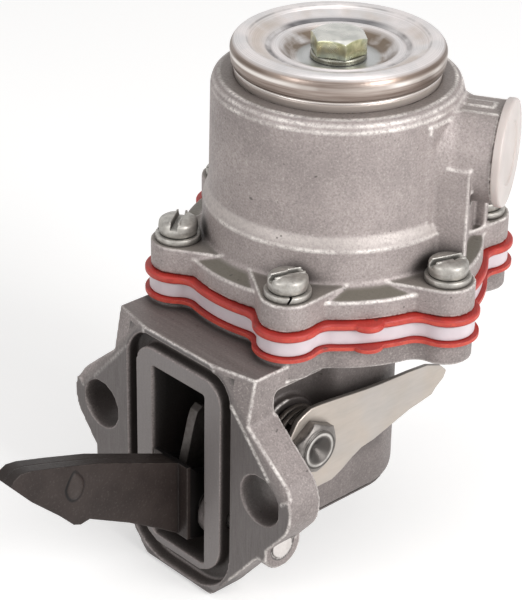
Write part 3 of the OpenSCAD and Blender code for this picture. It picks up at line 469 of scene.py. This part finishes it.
# Yellow passivated bolt: grey top, green and olive flats, bright corners, and painted shade on the washer
# under the head
def yellow_zinc(name):
    f = Finish(name)
    spread = f.noise(2.4, 2)
    flats = f.mixed(f.ranged(spread, 0.42, 0.6), (0.62, 0.61, 0.38), (0.34, 0.34, 0.20))
    flats = f.mixed(f.ranged(f.noise(5, 2), 0.45, 0.6, 0, 0.6), flats, (0.42, 0.46, 0.42))
    crown = f.mixed(f.ranged(f.noise(3, 3), 0.4, 0.62), (0.62, 0.61, 0.57), (0.47, 0.47, 0.44))
    f.colour = f.mixed(f.ranged(f.facing("Z"), 0.35, 0.75), flats, crown)
    # Painted shade on the washer below the hexagon
    shaded_washer = f.ranged(f.reading("Z"), WELL + 1.25, WELL + 1.05, 0, 0.8)
    f.lay((0.24, 0.235, 0.20), shaded_washer)
    soft, rubbed = f.edge_of(0.45)
    f.lay((0.86, 0.86, 0.80), rubbed, 0.85)
    f.shade_corners((0.05, 0.045, 0.035), 1.8, 0.3, 0.8, 0.85)
    f.done(0.85, f.ranged(spread, 0.3, 0.7, 0.24, 0.36), f.bumped(f.noise(1.4, 3), 0.05, 0.25, soft))


# Coined pip of the rocker plates: its middle and its half width and half height
PIP = (-27.7, 4.8)
PIP_SIZE = (2.2, 3.1)


# Browned rocker plates: satin, with painted shade that makes them near black inside the mouth and darker on
# their upward faces, a painted shade line round the pip and a painted highlight on its crown
def browned_steel(name):
    f = Finish(name)
    black = (0.004, 0.0035, 0.0035)
    fine = f.noise(0.5, 3, 0.6)
    f.colour = f.mixed(f.ranged(f.noise(7, 3), 0.35, 0.65), (0.026, 0.0185, 0.0165), (0.038, 0.028, 0.025))
    f.lay((0.095, 0.08, 0.072), f.ranged(fine, 0.56, 0.74, 0, 0.35))
    soft, rubbed = f.edge_of(0.45)
    f.lay((0.13, 0.11, 0.10), rubbed, f.ranged(f.noise(1.6, 3), 0.4, 0.62, 0.1, 0.8))
    f.shade_corners((0.004, 0.003, 0.003), 1.2, 0.35, 0.85, 0.9)
    depth = f.reading("Y")
    # Painted shade: near black inside the mouth
    shaded_in_mouth = f.ranged(depth, -1.3, -0.9, 0, 0.92)
    f.lay(black, shaded_in_mouth)
    # Painted shade on the upward faces, near black deeper in the mouth
    shaded_upward = f.ranged(f.facing("Z"), 0.3, 0.7)
    f.lay((0.010, 0.008, 0.007), shaded_upward, 0.5)
    f.lay(black, shaded_upward, f.ranged(depth, -3, -2, 0, 0.9))
    # Painted shade line round the pip, stronger on one side, and a painted highlight on its crown
    high = f.maths("DIVIDE", f.maths("SUBTRACT", f.reading("Z"), PIP[1]), PIP_SIZE[1])
    narrow = f.maths("SUBTRACT", 1.0, f.product(f.ranged(high, 0, 1), 0.45))
    aside = f.maths("DIVIDE", f.maths("SUBTRACT", depth, PIP[0]), f.product(narrow, PIP_SIZE[0]))
    from_pip = f.length(high, aside)
    pip_shade_line = f.within(from_pip, 0.98, 1.08, 0.12)
    f.lay((0.006, 0.005, 0.005), pip_shade_line, f.ranged(aside, 0.9, -0.6, 0.35, 0.95))
    pip_highlight = f.ranged(from_pip, 0.9, 0.7, 0, 0.4)
    f.lay((0.065, 0.053, 0.048), pip_highlight)
    f.done(0.15, f.ranged(fine, 0.3, 0.7, 0.5, 0.4), f.bumped(fine, 0.05, 0.3, soft), Specular_IOR_Level=0.25)


# Shaft end: dull grey steel, with a painted highlight ring, a painted shade ring and painted shade in the
# centre recess
def turned_end(name):
    f = Finish(name)
    wander = f.noise(2.5, 3)
    f.colour = f.mixed(f.ranged(wander, 0.38, 0.62), (0.15, 0.137, 0.128), (0.24, 0.222, 0.208))
    soft, rubbed = f.edge_of(0.4)
    f.lay((0.50, 0.475, 0.45), rubbed, 0.7)
    reach = f.from_line((0, SHAFT_Y, SHAFT_Z), (0, 1, 1))
    end = f.ranged(f.reading("X"), LEVER_X + 0.6, LEVER_X + 1)
    # On the end face: a painted highlight ring, a painted shade ring and painted shade in the centre recess
    highlight_ring = f.within(reach, 3.25, 3.5, 0.2)
    f.lay((0.62, 0.60, 0.57), highlight_ring, end, f.ranged(wander, 0.3, 0.6, 0.4, 0.9))
    shade_ring = f.within(reach, 3.8, 4, 0.15)
    f.lay((0.05, 0.045, 0.04), shade_ring, end, 0.8)
    centre = f.ranged(reach, 3.1, 2.7, 0, 0.9)
    f.lay((0.060, 0.054, 0.050), centre, end)
    f.shade_corners((0.03, 0.027, 0.024), 2, 0.3, 0.8, 0.75)
    f.done(0.7, f.ranged(wander, 0.3, 0.7, 0.34, 0.46), f.bumped(f.noise(0.8, 2), 0.04, 0.2, soft))


# Plain plated lever: satin grey with long faint clouds and a dark sheared rim
def sheared_lever(name):
    f = Finish(name)
    clouds = f.noise(9, 4, 0.6, f.squeezed(1, 0.6, 1.2))
    drawn = f.noise(0.6, 2, 0.6, f.squeezed(1, 0.12, 1))
    f.colour = f.mixed(f.ranged(clouds, 0.36, 0.64), (0.50, 0.44, 0.385), (0.43, 0.385, 0.345))
    f.lay((0.45, 0.435, 0.43), f.ranged(f.noise(12, 2), 0.5, 0.66, 0, 0.4))
    f.lay((0.62, 0.59, 0.55), f.ranged(drawn, 0.35, 0.65, 0, 0.12))
    rim = f.ranged(f.maths("ABSOLUTE", f.facing("X")), 0.75, 0.4)
    f.lay((0.13, 0.115, 0.105), rim, 0.75)
    f.shade_corners((0.08, 0.07, 0.062), 2, 0.3, 0.8, 0.7)
    f.done(0.6, f.ranged(clouds, 0.3, 0.7, 0.36, 0.48), f.bumped(drawn, 0.03, 0.2))


cast_alloy("cast_lower", (0.31, 0.268, 0.257), (0.225, 0.194, 0.186), lower_touches, shade_mm=16)
cast_alloy("cast_upper", (0.40, 0.346, 0.332), (0.31, 0.267, 0.257), upper_touches)
moulded_plastic("plastic_white", (0.70, 0.625, 0.655), (0.60, 0.53, 0.56))
moulded_plastic("plug_white", (0.60, 0.535, 0.505), (0.53, 0.468, 0.44), 0.34, 0.3)
coated_cloth("diaphragm_red")
plated_steel("screw_zinc", (0.38, 0.36, 0.33), (0.28, 0.265, 0.245), 0.40, 0.8, (0.66, 0.64, 0.60),
             wander_mm=2.2)
yellow_zinc("bolt_zinc")
passivated_cover("cover_zinc")
black_rubber("seal_black")
woven_gauze("gauze_brass")
plated_steel("valve_brass", (0.60, 0.44, 0.20), (0.50, 0.36, 0.16), 0.3)
plated_steel("spring_steel", (0.17, 0.155, 0.145), (0.26, 0.24, 0.22), 0.35, edge_light=(0.42, 0.40, 0.37))
plated_steel("plate_steel", (0.42, 0.41, 0.40), (0.50, 0.48, 0.46), 0.36)
browned_steel("rocker_steel")
plated_steel("link_steel", (0.060, 0.050, 0.045), (0.085, 0.072, 0.066), 0.44, 0.4, (0.17, 0.155, 0.145),
             soft_mm=0.4)
plated_steel("pin_steel", (0.68, 0.64, 0.62), (0.60, 0.56, 0.54), 0.3, 0.8, soft_mm=0.3, shaded_within=24)
turned_end("shaft_steel")
plated_steel("return_spring", (0.045, 0.034, 0.027), (0.075, 0.060, 0.050), 0.45, 0.5, (0.16, 0.14, 0.125))
sheared_lever("lever_steel")

node_finish = {node: finish for finish, names in {
    "cast_lower": "lower_body",
    "cast_upper": "upper_body",
    "plastic_white": "spacer_ring",
    "plug_white": "inlet_plug outlet_plug",
    "diaphragm_red": "upper_diaphragm lower_diaphragm",
    "screw_zinc": "body_screws spring_washers",
    "bolt_zinc": "cover_bolt bolt_washer",
    "cover_zinc": "top_cover",
    "seal_black": "cover_seal inlet_valve_disc outlet_valve_disc rod_seal shaft_seal",
    "gauze_brass": "filter_screen",
    "valve_brass": "inlet_valve_seat outlet_valve_seat",
    "spring_steel": "inlet_valve_spring outlet_valve_spring diaphragm_spring rocker_spring",
    "plate_steel": "upper_plate middle_plate lower_plate pull_rod seal_retainer",
    "rocker_steel": "rocker_plate_right rocker_plate_left",
    "link_steel": "link_lever",
    "pin_steel": "rocker_heel rocker_bush rocker_pin",
    "shaft_steel": "priming_shaft",
    "return_spring": "priming_spring",
    "lever_steel": "priming_lever",
}.items() for node in names.split()}
node_body = {n: body for body, group in frame["record"]["behaviour"]["bodies"].items() for n in group}


def dress(thing, finish):
    thing.data.materials.clear()
    thing.data.materials.append(finish)


for node_name, finish_name in node_finish.items():
    dress(nodes[node_name], finishes[finish_name])


# Making of pieces

TOUCHING = 0.002 * MM


def alone(piece):
    bpy.ops.object.select_all(action="DESELECT")
    piece.select_set(True)
    bpy.context.view_layer.objects.active = piece


@contextmanager
def editing(piece):
    alone(piece)
    bpy.ops.object.mode_set(mode="EDIT")
    bpy.ops.mesh.select_all(action="SELECT")
    yield
    bpy.ops.object.mode_set(mode="OBJECT")


def applied(piece):
    alone(piece)
    bpy.ops.object.transform_apply(location=True, rotation=True, scale=True)
    return piece


def settle(piece, place=(0, 0, 0), turn=Matrix.Identity(3)):
    piece.matrix_world = Matrix.Translation(Vector(place) * MM) @ turn.to_4x4() @ piece.matrix_world
    return applied(piece)


def turn_of(degrees, axis="Z"):
    return Matrix.Rotation(math.radians(degrees), 3, axis)


def shaped(piece, kind, **settings):
    modifier = piece.modifiers.new(kind.lower(), kind)
    for name, value in settings.items():
        setattr(modifier, name, value)
    alone(piece)
    bpy.ops.object.modifier_apply(modifier=modifier.name)
    return piece


def bevelled(piece, width_mm, segments, angle):
    return shaped(piece, "BEVEL", width=width_mm * MM, segments=segments, limit_method="ANGLE",
                  angle_limit=math.radians(angle), use_clamp_overlap=True)


def smooth(piece, angle=38):
    alone(piece)
    bpy.ops.object.shade_smooth_by_angle(angle=math.radians(angle))
    return piece


# Smooth rounds beside faces that stay flat
def even(piece):
    return shaped(smooth(piece), "WEIGHTED_NORMAL", keep_sharp=True, weight=60)


def joined(pieces, name):
    alone(pieces[0])
    for piece in pieces[1:]:
        piece.select_set(True)
    if len(pieces) > 1:
        bpy.ops.object.join()
    pieces[0].name = pieces[0].data.name = name
    return pieces[0]


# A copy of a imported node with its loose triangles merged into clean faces
def copied(node_name, name, flat=0.6):
    piece = bpy.data.objects.new(name, nodes[node_name].data.copy())
    scene.collection.objects.link(piece)
    with editing(piece):
        bpy.ops.mesh.remove_doubles(threshold=TOUCHING)
        if flat:
            bpy.ops.mesh.dissolve_limited(angle_limit=math.radians(flat))
    return piece


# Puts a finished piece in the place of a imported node
def stands_for(piece, node_name):
    dress(piece, finishes[node_finish[node_name]])
    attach(piece, node_body[node_name])
    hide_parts(node_name)


# Profile points from corners as [radius, height, softness], where softness rounds the corner
def rounded(corners, closed, steps=4):
    points = []
    count = len(corners)
    for i, corner in enumerate(corners):
        soft = corner[2] if len(corner) > 2 else 0
        if not soft or not (closed or 0 < i < count - 1):
            points.append((corner[0], corner[1]))
            continue
        here = Vector(corner[:2])
        back = (Vector(corners[i - 1][:2]) - here).normalized()
        on = (Vector(corners[(i + 1) % count][:2]) - here).normalized()
        half = back.angle(on) / 2
        centre = here + (back + on).normalized() * (soft / math.sin(half))
        start = here + back * (soft / math.tan(half)) - centre
        stop = here + on * (soft / math.tan(half)) - centre
        first = math.atan2(start.y, start.x)
        turn = math.atan2(stop.y, stop.x) - first
        turn = (turn + math.pi) % (2 * math.pi) - math.pi
        for k in range(steps + 1):
            angle = first + turn * k / steps
            points.append((centre.x + soft * math.cos(angle), centre.y + soft * math.sin(angle)))
    return points


# A circle grown ring by ring through the points of a profile, then closed
def grown(points, steps, close=None):
    radius, level = points[0]
    bpy.ops.mesh.primitive_circle_add(vertices=steps, radius=radius * MM, location=(0, 0, level * MM))
    piece = bpy.context.object
    with editing(piece):
        for new_radius, new_level in points[1:]:
            rise = (0, 0, (new_level - level) * MM)
            bpy.ops.mesh.extrude_edges_move(TRANSFORM_OT_translate={"value": rise})
            grow = new_radius / radius
            bpy.ops.transform.resize(value=(grow, grow, 1), center_override=(0, 0, new_level * MM))
            radius, level = new_radius, new_level
        bpy.ops.mesh.select_all(action="SELECT")
        if close:
            close()
        bpy.ops.mesh.select_all(action="SELECT")
        bpy.ops.mesh.normals_make_consistent(inside=False)
    return piece


# A turned piece about the vertical axis
def turned(corners, steps=96, closed=False, soft_steps=4):
    points = rounded(corners, closed, soft_steps)
    if closed:
        piece = grown(points + points[:1], steps, lambda: bpy.ops.mesh.remove_doubles(threshold=TOUCHING))
    else:
        piece = grown(points, steps, lambda: bpy.ops.mesh.fill_holes(sides=0))
    return settle(piece)


# A bar of given size, used to cut slots
def bar(size, centre, turn=Matrix.Identity(3)):
    bpy.ops.mesh.primitive_cube_add(size=MM)
    piece = bpy.context.object
    piece.scale = size
    return settle(applied(piece), centre, turn)


def cut(piece, tool, how="DIFFERENCE"):
    shaped(piece, "BOOLEAN", operation=how, solver="EXACT", object=tool)
    bpy.data.objects.remove(tool)


# Castings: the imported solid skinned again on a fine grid, so that every edge comes out soft
CASTING_GRID = 0.38 * MM
MOST_TRIANGLES = 196000
WEAR_AND_HIGHLIGHT_REACH = 1.0 * MM
OUTER_EDGE = math.radians(12)
SPOT_STEP = 0.35 * MM


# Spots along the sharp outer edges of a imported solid, in the order of its mesh
def sharp_spots(piece, keep):
    shape = bmesh.new()
    shape.from_mesh(piece.data)
    spots = []
    for edge in shape.edges:
        if len(edge.link_faces) != 2 or edge.calc_face_angle_signed(0) < OUTER_EDGE:
            continue
        start, stop = edge.verts[0].co, edge.verts[1].co
        count = max(1, math.ceil((stop - start).length / SPOT_STEP))
        for k in range(count + 1):
            spot = start.lerp(stop, k / count)
            if keep(spot / MM):
                spots.append(spot)
    shape.free()
    return spots


def casting(node_name, name, keep):
    piece = copied(node_name, name, flat=0)
    spots = sharp_spots(piece, keep)
    shaped(piece, "REMESH", mode="VOXEL", voxel_size=CASTING_GRID, use_smooth_shade=True)
    shaped(piece, "SMOOTH", factor=0.5, iterations=2)
    triangles = sum(len(face.vertices) - 2 for face in piece.data.polygons)
    if triangles > MOST_TRIANGLES:
        shaped(piece, "DECIMATE", ratio=MOST_TRIANGLES / triangles)
    tree = KDTree(len(spots))
    for i, spot in enumerate(spots):
        tree.insert(spot, i)
    tree.balance()
    # Wear and painted highlight, fading with the distance from the sharp outer edges
    wear_and_highlight = piece.data.attributes.new("wear_and_highlight", "FLOAT", "POINT")
    gaps = (tree.find(v.co)[2] for v in piece.data.vertices)
    wear_and_highlight.data.foreach_set("value", [max(0.0, 1 - gap / WEAR_AND_HIGHLIGHT_REACH) for gap in gaps])
    return smooth(piece, 180)


# Edges that get the rubbed wear and painted highlight: not the rims of the mouth, its groove and the mounting
# holes, which stay dark
def lower_wear_and_highlight_edges(spot):
    half, bottom, top = GROOVE
    in_groove = abs(spot.x) < half + 0.2 and spot.y < 4 and bottom - 0.2 < spot.z < top + 0.2
    in_hole = math.hypot(abs(spot.x) - HOLE_X, spot.z) < HOLE_RADIUS + 0.55
    inside = spot.y > 8.5 and math.hypot(spot.x, spot.y - AXIS_Y) < 26
    return not (in_groove or in_hole or inside)


def upper_wear_and_highlight_edges(spot):
    reach = math.hypot(spot.x, spot.y - AXIS_Y)
    beside_panel = reach < 27.5 and PAD + 9.8 < spot.z < 65
    return reach > 22 and not beside_panel


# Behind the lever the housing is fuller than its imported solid: the skin moves out from the middle
# plane and, at the round end, from the pump axis, while the cavity inside keeps its walls
HOUSING_HALF = 10.4
HOUSING_SWELL = 3.7
HOUSING_REACH = 18
HOUSING_LIFT = 1.0
FLOOR_THICK = 2.4
FLANGE_UNDER = 22.1
FLANGE_BACK = 11
CAVITY_HALF = 4.9


def eased(value, low, high):
    t = min(1.0, max(0.0, (value - low) / (high - low)))
    return t * t * (3 - 2 * t)


def fuller_housing(piece):
    for v in piece.data.vertices:
        x, y, z = v.co / MM
        reach = math.hypot(x, max(0.0, y - AXIS_Y))
        if y < FLANGE_BACK or z > FLANGE_UNDER + 2.2 or not 0.5 < reach < HOUSING_REACH:
            continue
        behind_web = max(eased(y, 25.5, 31), eased(y, FLANGE_BACK, 17) * eased(z, -6.5, -10))
        share = behind_web * eased(z, FLANGE_UNDER + 2, FLANGE_UNDER + 0.6)
        below = eased(z, HOUSING_FLOOR + 0.15, HOUSING_FLOOR - 0.15)
        if reach <= HOUSING_HALF:
            push = max(eased(reach, 8.5, 10.2), below * min(1.0, reach / CAVITY_HALF))
        else:
            push = (HOUSING_REACH - reach) / (HOUSING_REACH - HOUSING_HALF)
        grow = 1 + HOUSING_SWELL * share * push / reach
        v.co.x = x * grow * MM
        if y > AXIS_Y:
            v.co.y = (AXIS_Y + (y - AXIS_Y) * grow) * MM
        depth_in_floor = min(1.0, max(0.0, (HOUSING_FLOOR - z) / FLOOR_THICK))
        v.co.z = (z + HOUSING_LIFT * depth_in_floor * eased(y, 14, 19)) * MM


lower_casting = casting("lower_body", "lower_casting", lower_wear_and_highlight_edges)
fuller_housing(lower_casting)
stands_for(lower_casting, "lower_body")
stands_for(casting("upper_body", "upper_casting", upper_wear_and_highlight_edges), "upper_body")


# Pressed or machined pieces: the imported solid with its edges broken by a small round
def edged(node_name, name, width_mm, segments=3, angle=32):
    return even(bevelled(copied(node_name, name), width_mm, segments, angle))


# Top cover: pressed rings, a rolled rim and a lip, then given its sheet thickness
COVER_SHEET = 0.85
ROLL_MIDDLE = (18.9, 75.0)
ROLL_RADIUS = 2.3


def top_cover():
    profile = [[3.3, WELL], [9.3, WELL, 0.9], [11.7, 75.35, 0.5], [12.6, 75.55, 0.35], [13.6, 75.1, 0.35],
               [14.7, 75.8, 0.5], [17.3, 76.45, 0.2]]
    for step in range(10):
        angle = math.radians(122 - 13.5 * step)
        profile.append([ROLL_MIDDLE[0] + ROLL_RADIUS * math.cos(angle),
                        ROLL_MIDDLE[1] + ROLL_RADIUS * math.sin(angle)])
    profile += [[21.1, 73.6, 0.6], [20.9, 72.35, 0.7], [20.05, 71.85, 0.25], [20.55, 71.45, 0.3],
                [20.35, 70.7, 0.2], [20.3, 69.96]]
    piece = settle(grown(rounded(profile, False), 128), (0, AXIS_Y, 0))
    middle = Vector((0, AXIS_Y * MM))
    well_up = sum(face.normal.z for face in piece.data.polygons
                  if face.center.z < (WELL + 0.05) * MM and (face.center.xy - middle).length < 9 * MM)
    if well_up < 0:
        with editing(piece):
            bpy.ops.mesh.flip_normals()
    shaped(piece, "SOLIDIFY", thickness=COVER_SHEET * MM, offset=-1.0, use_even_offset=False)
    return joined([smooth(piece, 50)], "pressed_cover")


stands_for(top_cover(), "top_cover")


# Hexagon head of the cover bolt, its corners turned off by a cone
BOLT_ACROSS = 10
BOLT_HEIGHT = 4
BOLT_BASE = WELL + 1.1
BOLT_CHAMFER = 0.9


def hexagon():
    corner = BOLT_ACROSS / 2 / math.cos(math.radians(30))
    top = BOLT_BASE + BOLT_HEIGHT
    bpy.ops.mesh.primitive_cylinder_add(vertices=6, radius=corner * MM, depth=BOLT_HEIGHT * MM,
                                        location=(0, 0, (BOLT_BASE + BOLT_HEIGHT / 2) * MM))
    head = settle(bpy.context.object)
    cone = turned([[corner + 0.3, BOLT_BASE - 1], [corner + 0.3, top - BOLT_CHAMFER],
                   [BOLT_ACROSS / 2 - 0.35, top - 0.12, 0.3], [BOLT_ACROSS / 2 - 1.2, top]], 72)
    cut(head, cone, "INTERSECT")
    return bevelled(head, 0.16, 2, 25)


def cover_bolt():
    head = settle(hexagon(), (0, AXIS_Y, 0), turn_of(-2))
    shank = turned([[2.5, BODY_TOP - 16], [2.95, BODY_TOP - 15.4], [2.95, BOLT_BASE + 0.1]], 48)
    settle(shank, (0, AXIS_Y, 0))
    return smooth(joined([head, shank], "hexagon_bolt"), 30)


stands_for(cover_bolt(), "cover_bolt")

collar = turned([[3.15, WELL + 0.02], [5.6, WELL + 0.02, 0.1], [5.5, BOLT_BASE, 0.3], [3.15, BOLT_BASE]],
                72, closed=True)
stands_for(smooth(joined([settle(collar, (0, AXIS_Y, 0))], "bolt_collar")), "bolt_washer")


# Slotted screws with rounded barrel heads and burred slots, on split washers
HEAD_Z = PAD + 1.3
SLOT_Z = HEAD_Z + 3.5
SLOT_TURNS = (20, 100, 125, 75, 72, 150)
TORN_TURNS = (14, -12, 11, -15, 12, -13)
SLIT_TURNS = (0, 40, -35, 20, 70, -20)


def screw_spot(angle):
    turn = math.radians(angle)
    return SCREW_RING * math.sin(turn), AXIS_Y - SCREW_RING * math.cos(turn)


def screw(i):
    body = turned([[2.1, 21.2], [2.5, 21.7], [2.5, HEAD_Z + 0.02], [3.75, HEAD_Z + 0.02, 0.3],
                   [4.0, HEAD_Z + 1.3, 0.8], [3.85, HEAD_Z + 2.75, 0.8], [2.2, HEAD_Z + 3.25, 0.5],
                   [0.3, HEAD_Z + 3.3]], 48, soft_steps=5)
    lips = bar((6.6, 2.3, 0.5), (0, 0, HEAD_Z + 3.1))
    shaped(lips, "BEVEL", width=0.2 * MM, segments=2)
    cut(body, lips, "UNION")
    cut(body, bar((12, 1.5, 3.4), (0, 0, SLOT_Z)))
    cut(body, bar((5.2, 1.3, 2.6), (2.9, 0, SLOT_Z), turn_of(TORN_TURNS[i])))
    bevelled(body, 0.09, 2, 50)
    settle(body, turn=turn_of(SLOT_TURNS[i]))
    return settle(body, (*screw_spot(SCREW_ANGLES[i]), 0))


def split_washer(i):
    ring = turned([[2.65, PAD + 0.01, 0.1], [4.55, PAD + 0.01, 0.15], [4.6, PAD + 1.28, 0.2],
                   [2.65, PAD + 1.28, 0.1]], 48, closed=True, soft_steps=2)
    cut(ring, bar((0.45, 5, 4), (0, -4, PAD + 0.6), turn_of(28, "Y")))
    settle(ring, turn=turn_of(SCREW_ANGLES[i] + SLIT_TURNS[i]))
    return settle(ring, (*screw_spot(SCREW_ANGLES[i]), 0))


stands_for(smooth(joined([screw(i) for i in range(6)], "slotted_screws"), 40), "body_screws")
stands_for(smooth(joined([split_washer(i) for i in range(6)], "split_washers"), 40), "spring_washers")


# Port plugs: a round cap with a shallow step in its face and a hollow stub
def port_plug(name, side):
    out = PORT_REACH
    piece = turned([[0.4, out + 1.4], [6.2, out + 1.4, 0.15], [6.5, out + 1.72, 0.15],
                    [10.75, out + 1.72, 0.45], [10.75, out + 0.02, 0.2], [6.95, out + 0.02],
                    [6.9, out - 6, 0.3], [5.8, out - 6, 0.3], [5.8, out + 0.5, 0.3], [0.4, out + 0.5]])
    settle(piece, turn=turn_of(90, "X"))
    settle(piece, (0, AXIS_Y, PORT_Z), turn_of(side * 120))
    return joined([smooth(piece)], name)


stands_for(port_plug("inlet_transit_plug", -1), "inlet_plug")
stands_for(port_plug("outlet_transit_plug", 1), "outlet_plug")


# Rocker plates with rolled edges, a shorter tip and a coined, drop-shaped pip in the outer face
TIP_START = -35.5
TIP_SHORT = 0.15
PLATE_FACE = 2.3


def rocker(side, sign):
    piece = edged(f"rocker_plate_{side}", f"rocker_side_{side}", 0.55, 4)
    for v in piece.data.vertices:
        beyond = max(0.0, TIP_START - v.co.y / MM)
        v.co.y += beyond * TIP_SHORT * MM
    bpy.ops.mesh.primitive_uv_sphere_add(segments=32, ring_count=16, radius=MM)
    pip = bpy.context.object
    pip.scale = (0.5, *PIP_SIZE)
    applied(pip)
    for v in pip.data.vertices:
        high = max(0.0, v.co.z / (PIP_SIZE[1] * MM))
        v.co.y *= 1 - 0.5 * high ** 1.6
    cut(piece, settle(pip, (sign * PLATE_FACE, *PIP)), "UNION")
    return even(piece)


stands_for(rocker("right", 1), "rocker_plate_right")
stands_for(rocker("left", -1), "rocker_plate_left")
stands_for(edged("link_lever", "link_arm", 0.3), "link_lever")
stands_for(edged("priming_lever", "hand_lever_blade", 0.35), "priming_lever")
stands_for(edged("spacer_ring", "spacer", 0.25), "spacer_ring")


# A diaphragm whose clamped rim is squeezed slimmer, away from the screws
def squeezed_skin(node_name, name, thin_mm, round_mm):
    piece = copied(node_name, name)
    spots = [Vector(screw_spot(a)) * MM for a in SCREW_ANGLES]
    axis = Vector((0, AXIS_Y)) * MM
    rim = [v for v in piece.data.vertices if (v.co.xy - axis).length > 30.5 * MM
           and min((v.co.xy - spot).length for spot in spots) > 3.5 * MM]
    middle = (max(v.co.z for v in rim) + min(v.co.z for v in rim)) / 2
    for v in rim:
        v.co.z += thin_mm / 2 * MM * (1 if v.co.z < middle else -1)
    return even(bevelled(piece, round_mm, 4, 32))


stands_for(squeezed_skin("lower_diaphragm", "lower_skin", 0.3, 0.35), "lower_diaphragm")
stands_for(squeezed_skin("upper_diaphragm", "upper_skin", 0.5, 0.7), "upper_diaphragm")
stands_for(edged("priming_shaft", "hexagon_shaft", 0.15, 2, 28), "priming_shaft")
stands_for(edged("rocker_pin", "pivot_pin", 0.4), "rocker_pin")


# Springs inside, each given a mesh of its own
def shortening_spring(node_name, name):
    piece = smooth(copied(node_name, name, flat=0), 50)
    stands_for(piece, node_name)
    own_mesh(piece)


shortening_spring("diaphragm_spring", "cup_spring")
shortening_spring("inlet_valve_spring", "inlet_coil")
shortening_spring("outlet_valve_spring", "outlet_coil")


# Floor, room and lamps
ROOM_MIDDLE = (0.0, 0.035, 0.02)
FLOOR_SIZE = 6
FLOOR_GLOW = 0.42
ROOM_LIGHT = 0.30


# White to the eye and in reflections, dimmer as a source of light
def white_for_eyes(w):
    rays = w.put("ShaderNodeLightPath").outputs
    seen = w.maths("MAXIMUM", rays["Is Camera Ray"], rays["Is Glossy Ray"])
    return w.maths("MAXIMUM", seen, rays["Is Transmission Ray"])


def lay_floor():
    below = cad_low.z - 0.5 * MM
    bpy.ops.mesh.primitive_plane_add(size=FLOOR_SIZE, location=(0, 0.04, below))
    floor = applied(bpy.context.object)
    floor.name = "studio_floor"
    finish = bpy.data.materials.new("studio_floor")
    finish.use_nodes = True
    w = Wiring(finish.node_tree)
    matt = w.put("ShaderNodeBsdfDiffuse", {"Color": (0.82, 0.81, 0.80)})
    glow = w.put("ShaderNodeEmission", {"Strength": w.product(white_for_eyes(w), FLOOR_GLOW)})
    both = w.put("ShaderNodeAddShader", {0: matt.outputs[0], 1: glow.outputs[0]})
    w.put("ShaderNodeOutputMaterial", {"Surface": both.outputs[0]})
    floor.data.materials.append(finish)


def light_the_room():
    world = bpy.data.worlds.new("studio_world")
    scene.world = world
    world.use_nodes = True
    w = Wiring(world.node_tree)
    level = w.ranged(white_for_eyes(w), 0, 1, ROOM_LIGHT, 1)
    sky = w.put("ShaderNodeBackground", {"Color": (1, 1, 1), "Strength": level})
    w.put("ShaderNodeOutputWorld", {"Surface": sky.outputs[0]})


def soft_lamp(name, place, size, power):
    lamp = bpy.data.lights.new(name, "AREA")
    lamp.shape = "RECTANGLE"
    lamp.size, lamp.size_y = size
    lamp.energy = power
    holder = bpy.data.objects.new(name, lamp)
    scene.collection.objects.link(holder)
    away = Vector(place) - Vector(ROOM_MIDDLE)
    holder.matrix_world = Matrix.Translation(place) @ away.to_track_quat("Z", "Y").to_matrix().to_4x4()


lay_floor()
light_the_room()
soft_lamp("lamp_right", (0.85, 0.10, 0.42), (0.45, 0.6), 7.5)
soft_lamp("lamp_top", (0.10, 0.05, 0.95), (0.7, 0.7), 1.6)
soft_lamp("lamp_left", (-0.05, -0.85, 0.42), (0.35, 0.5), 2.5)
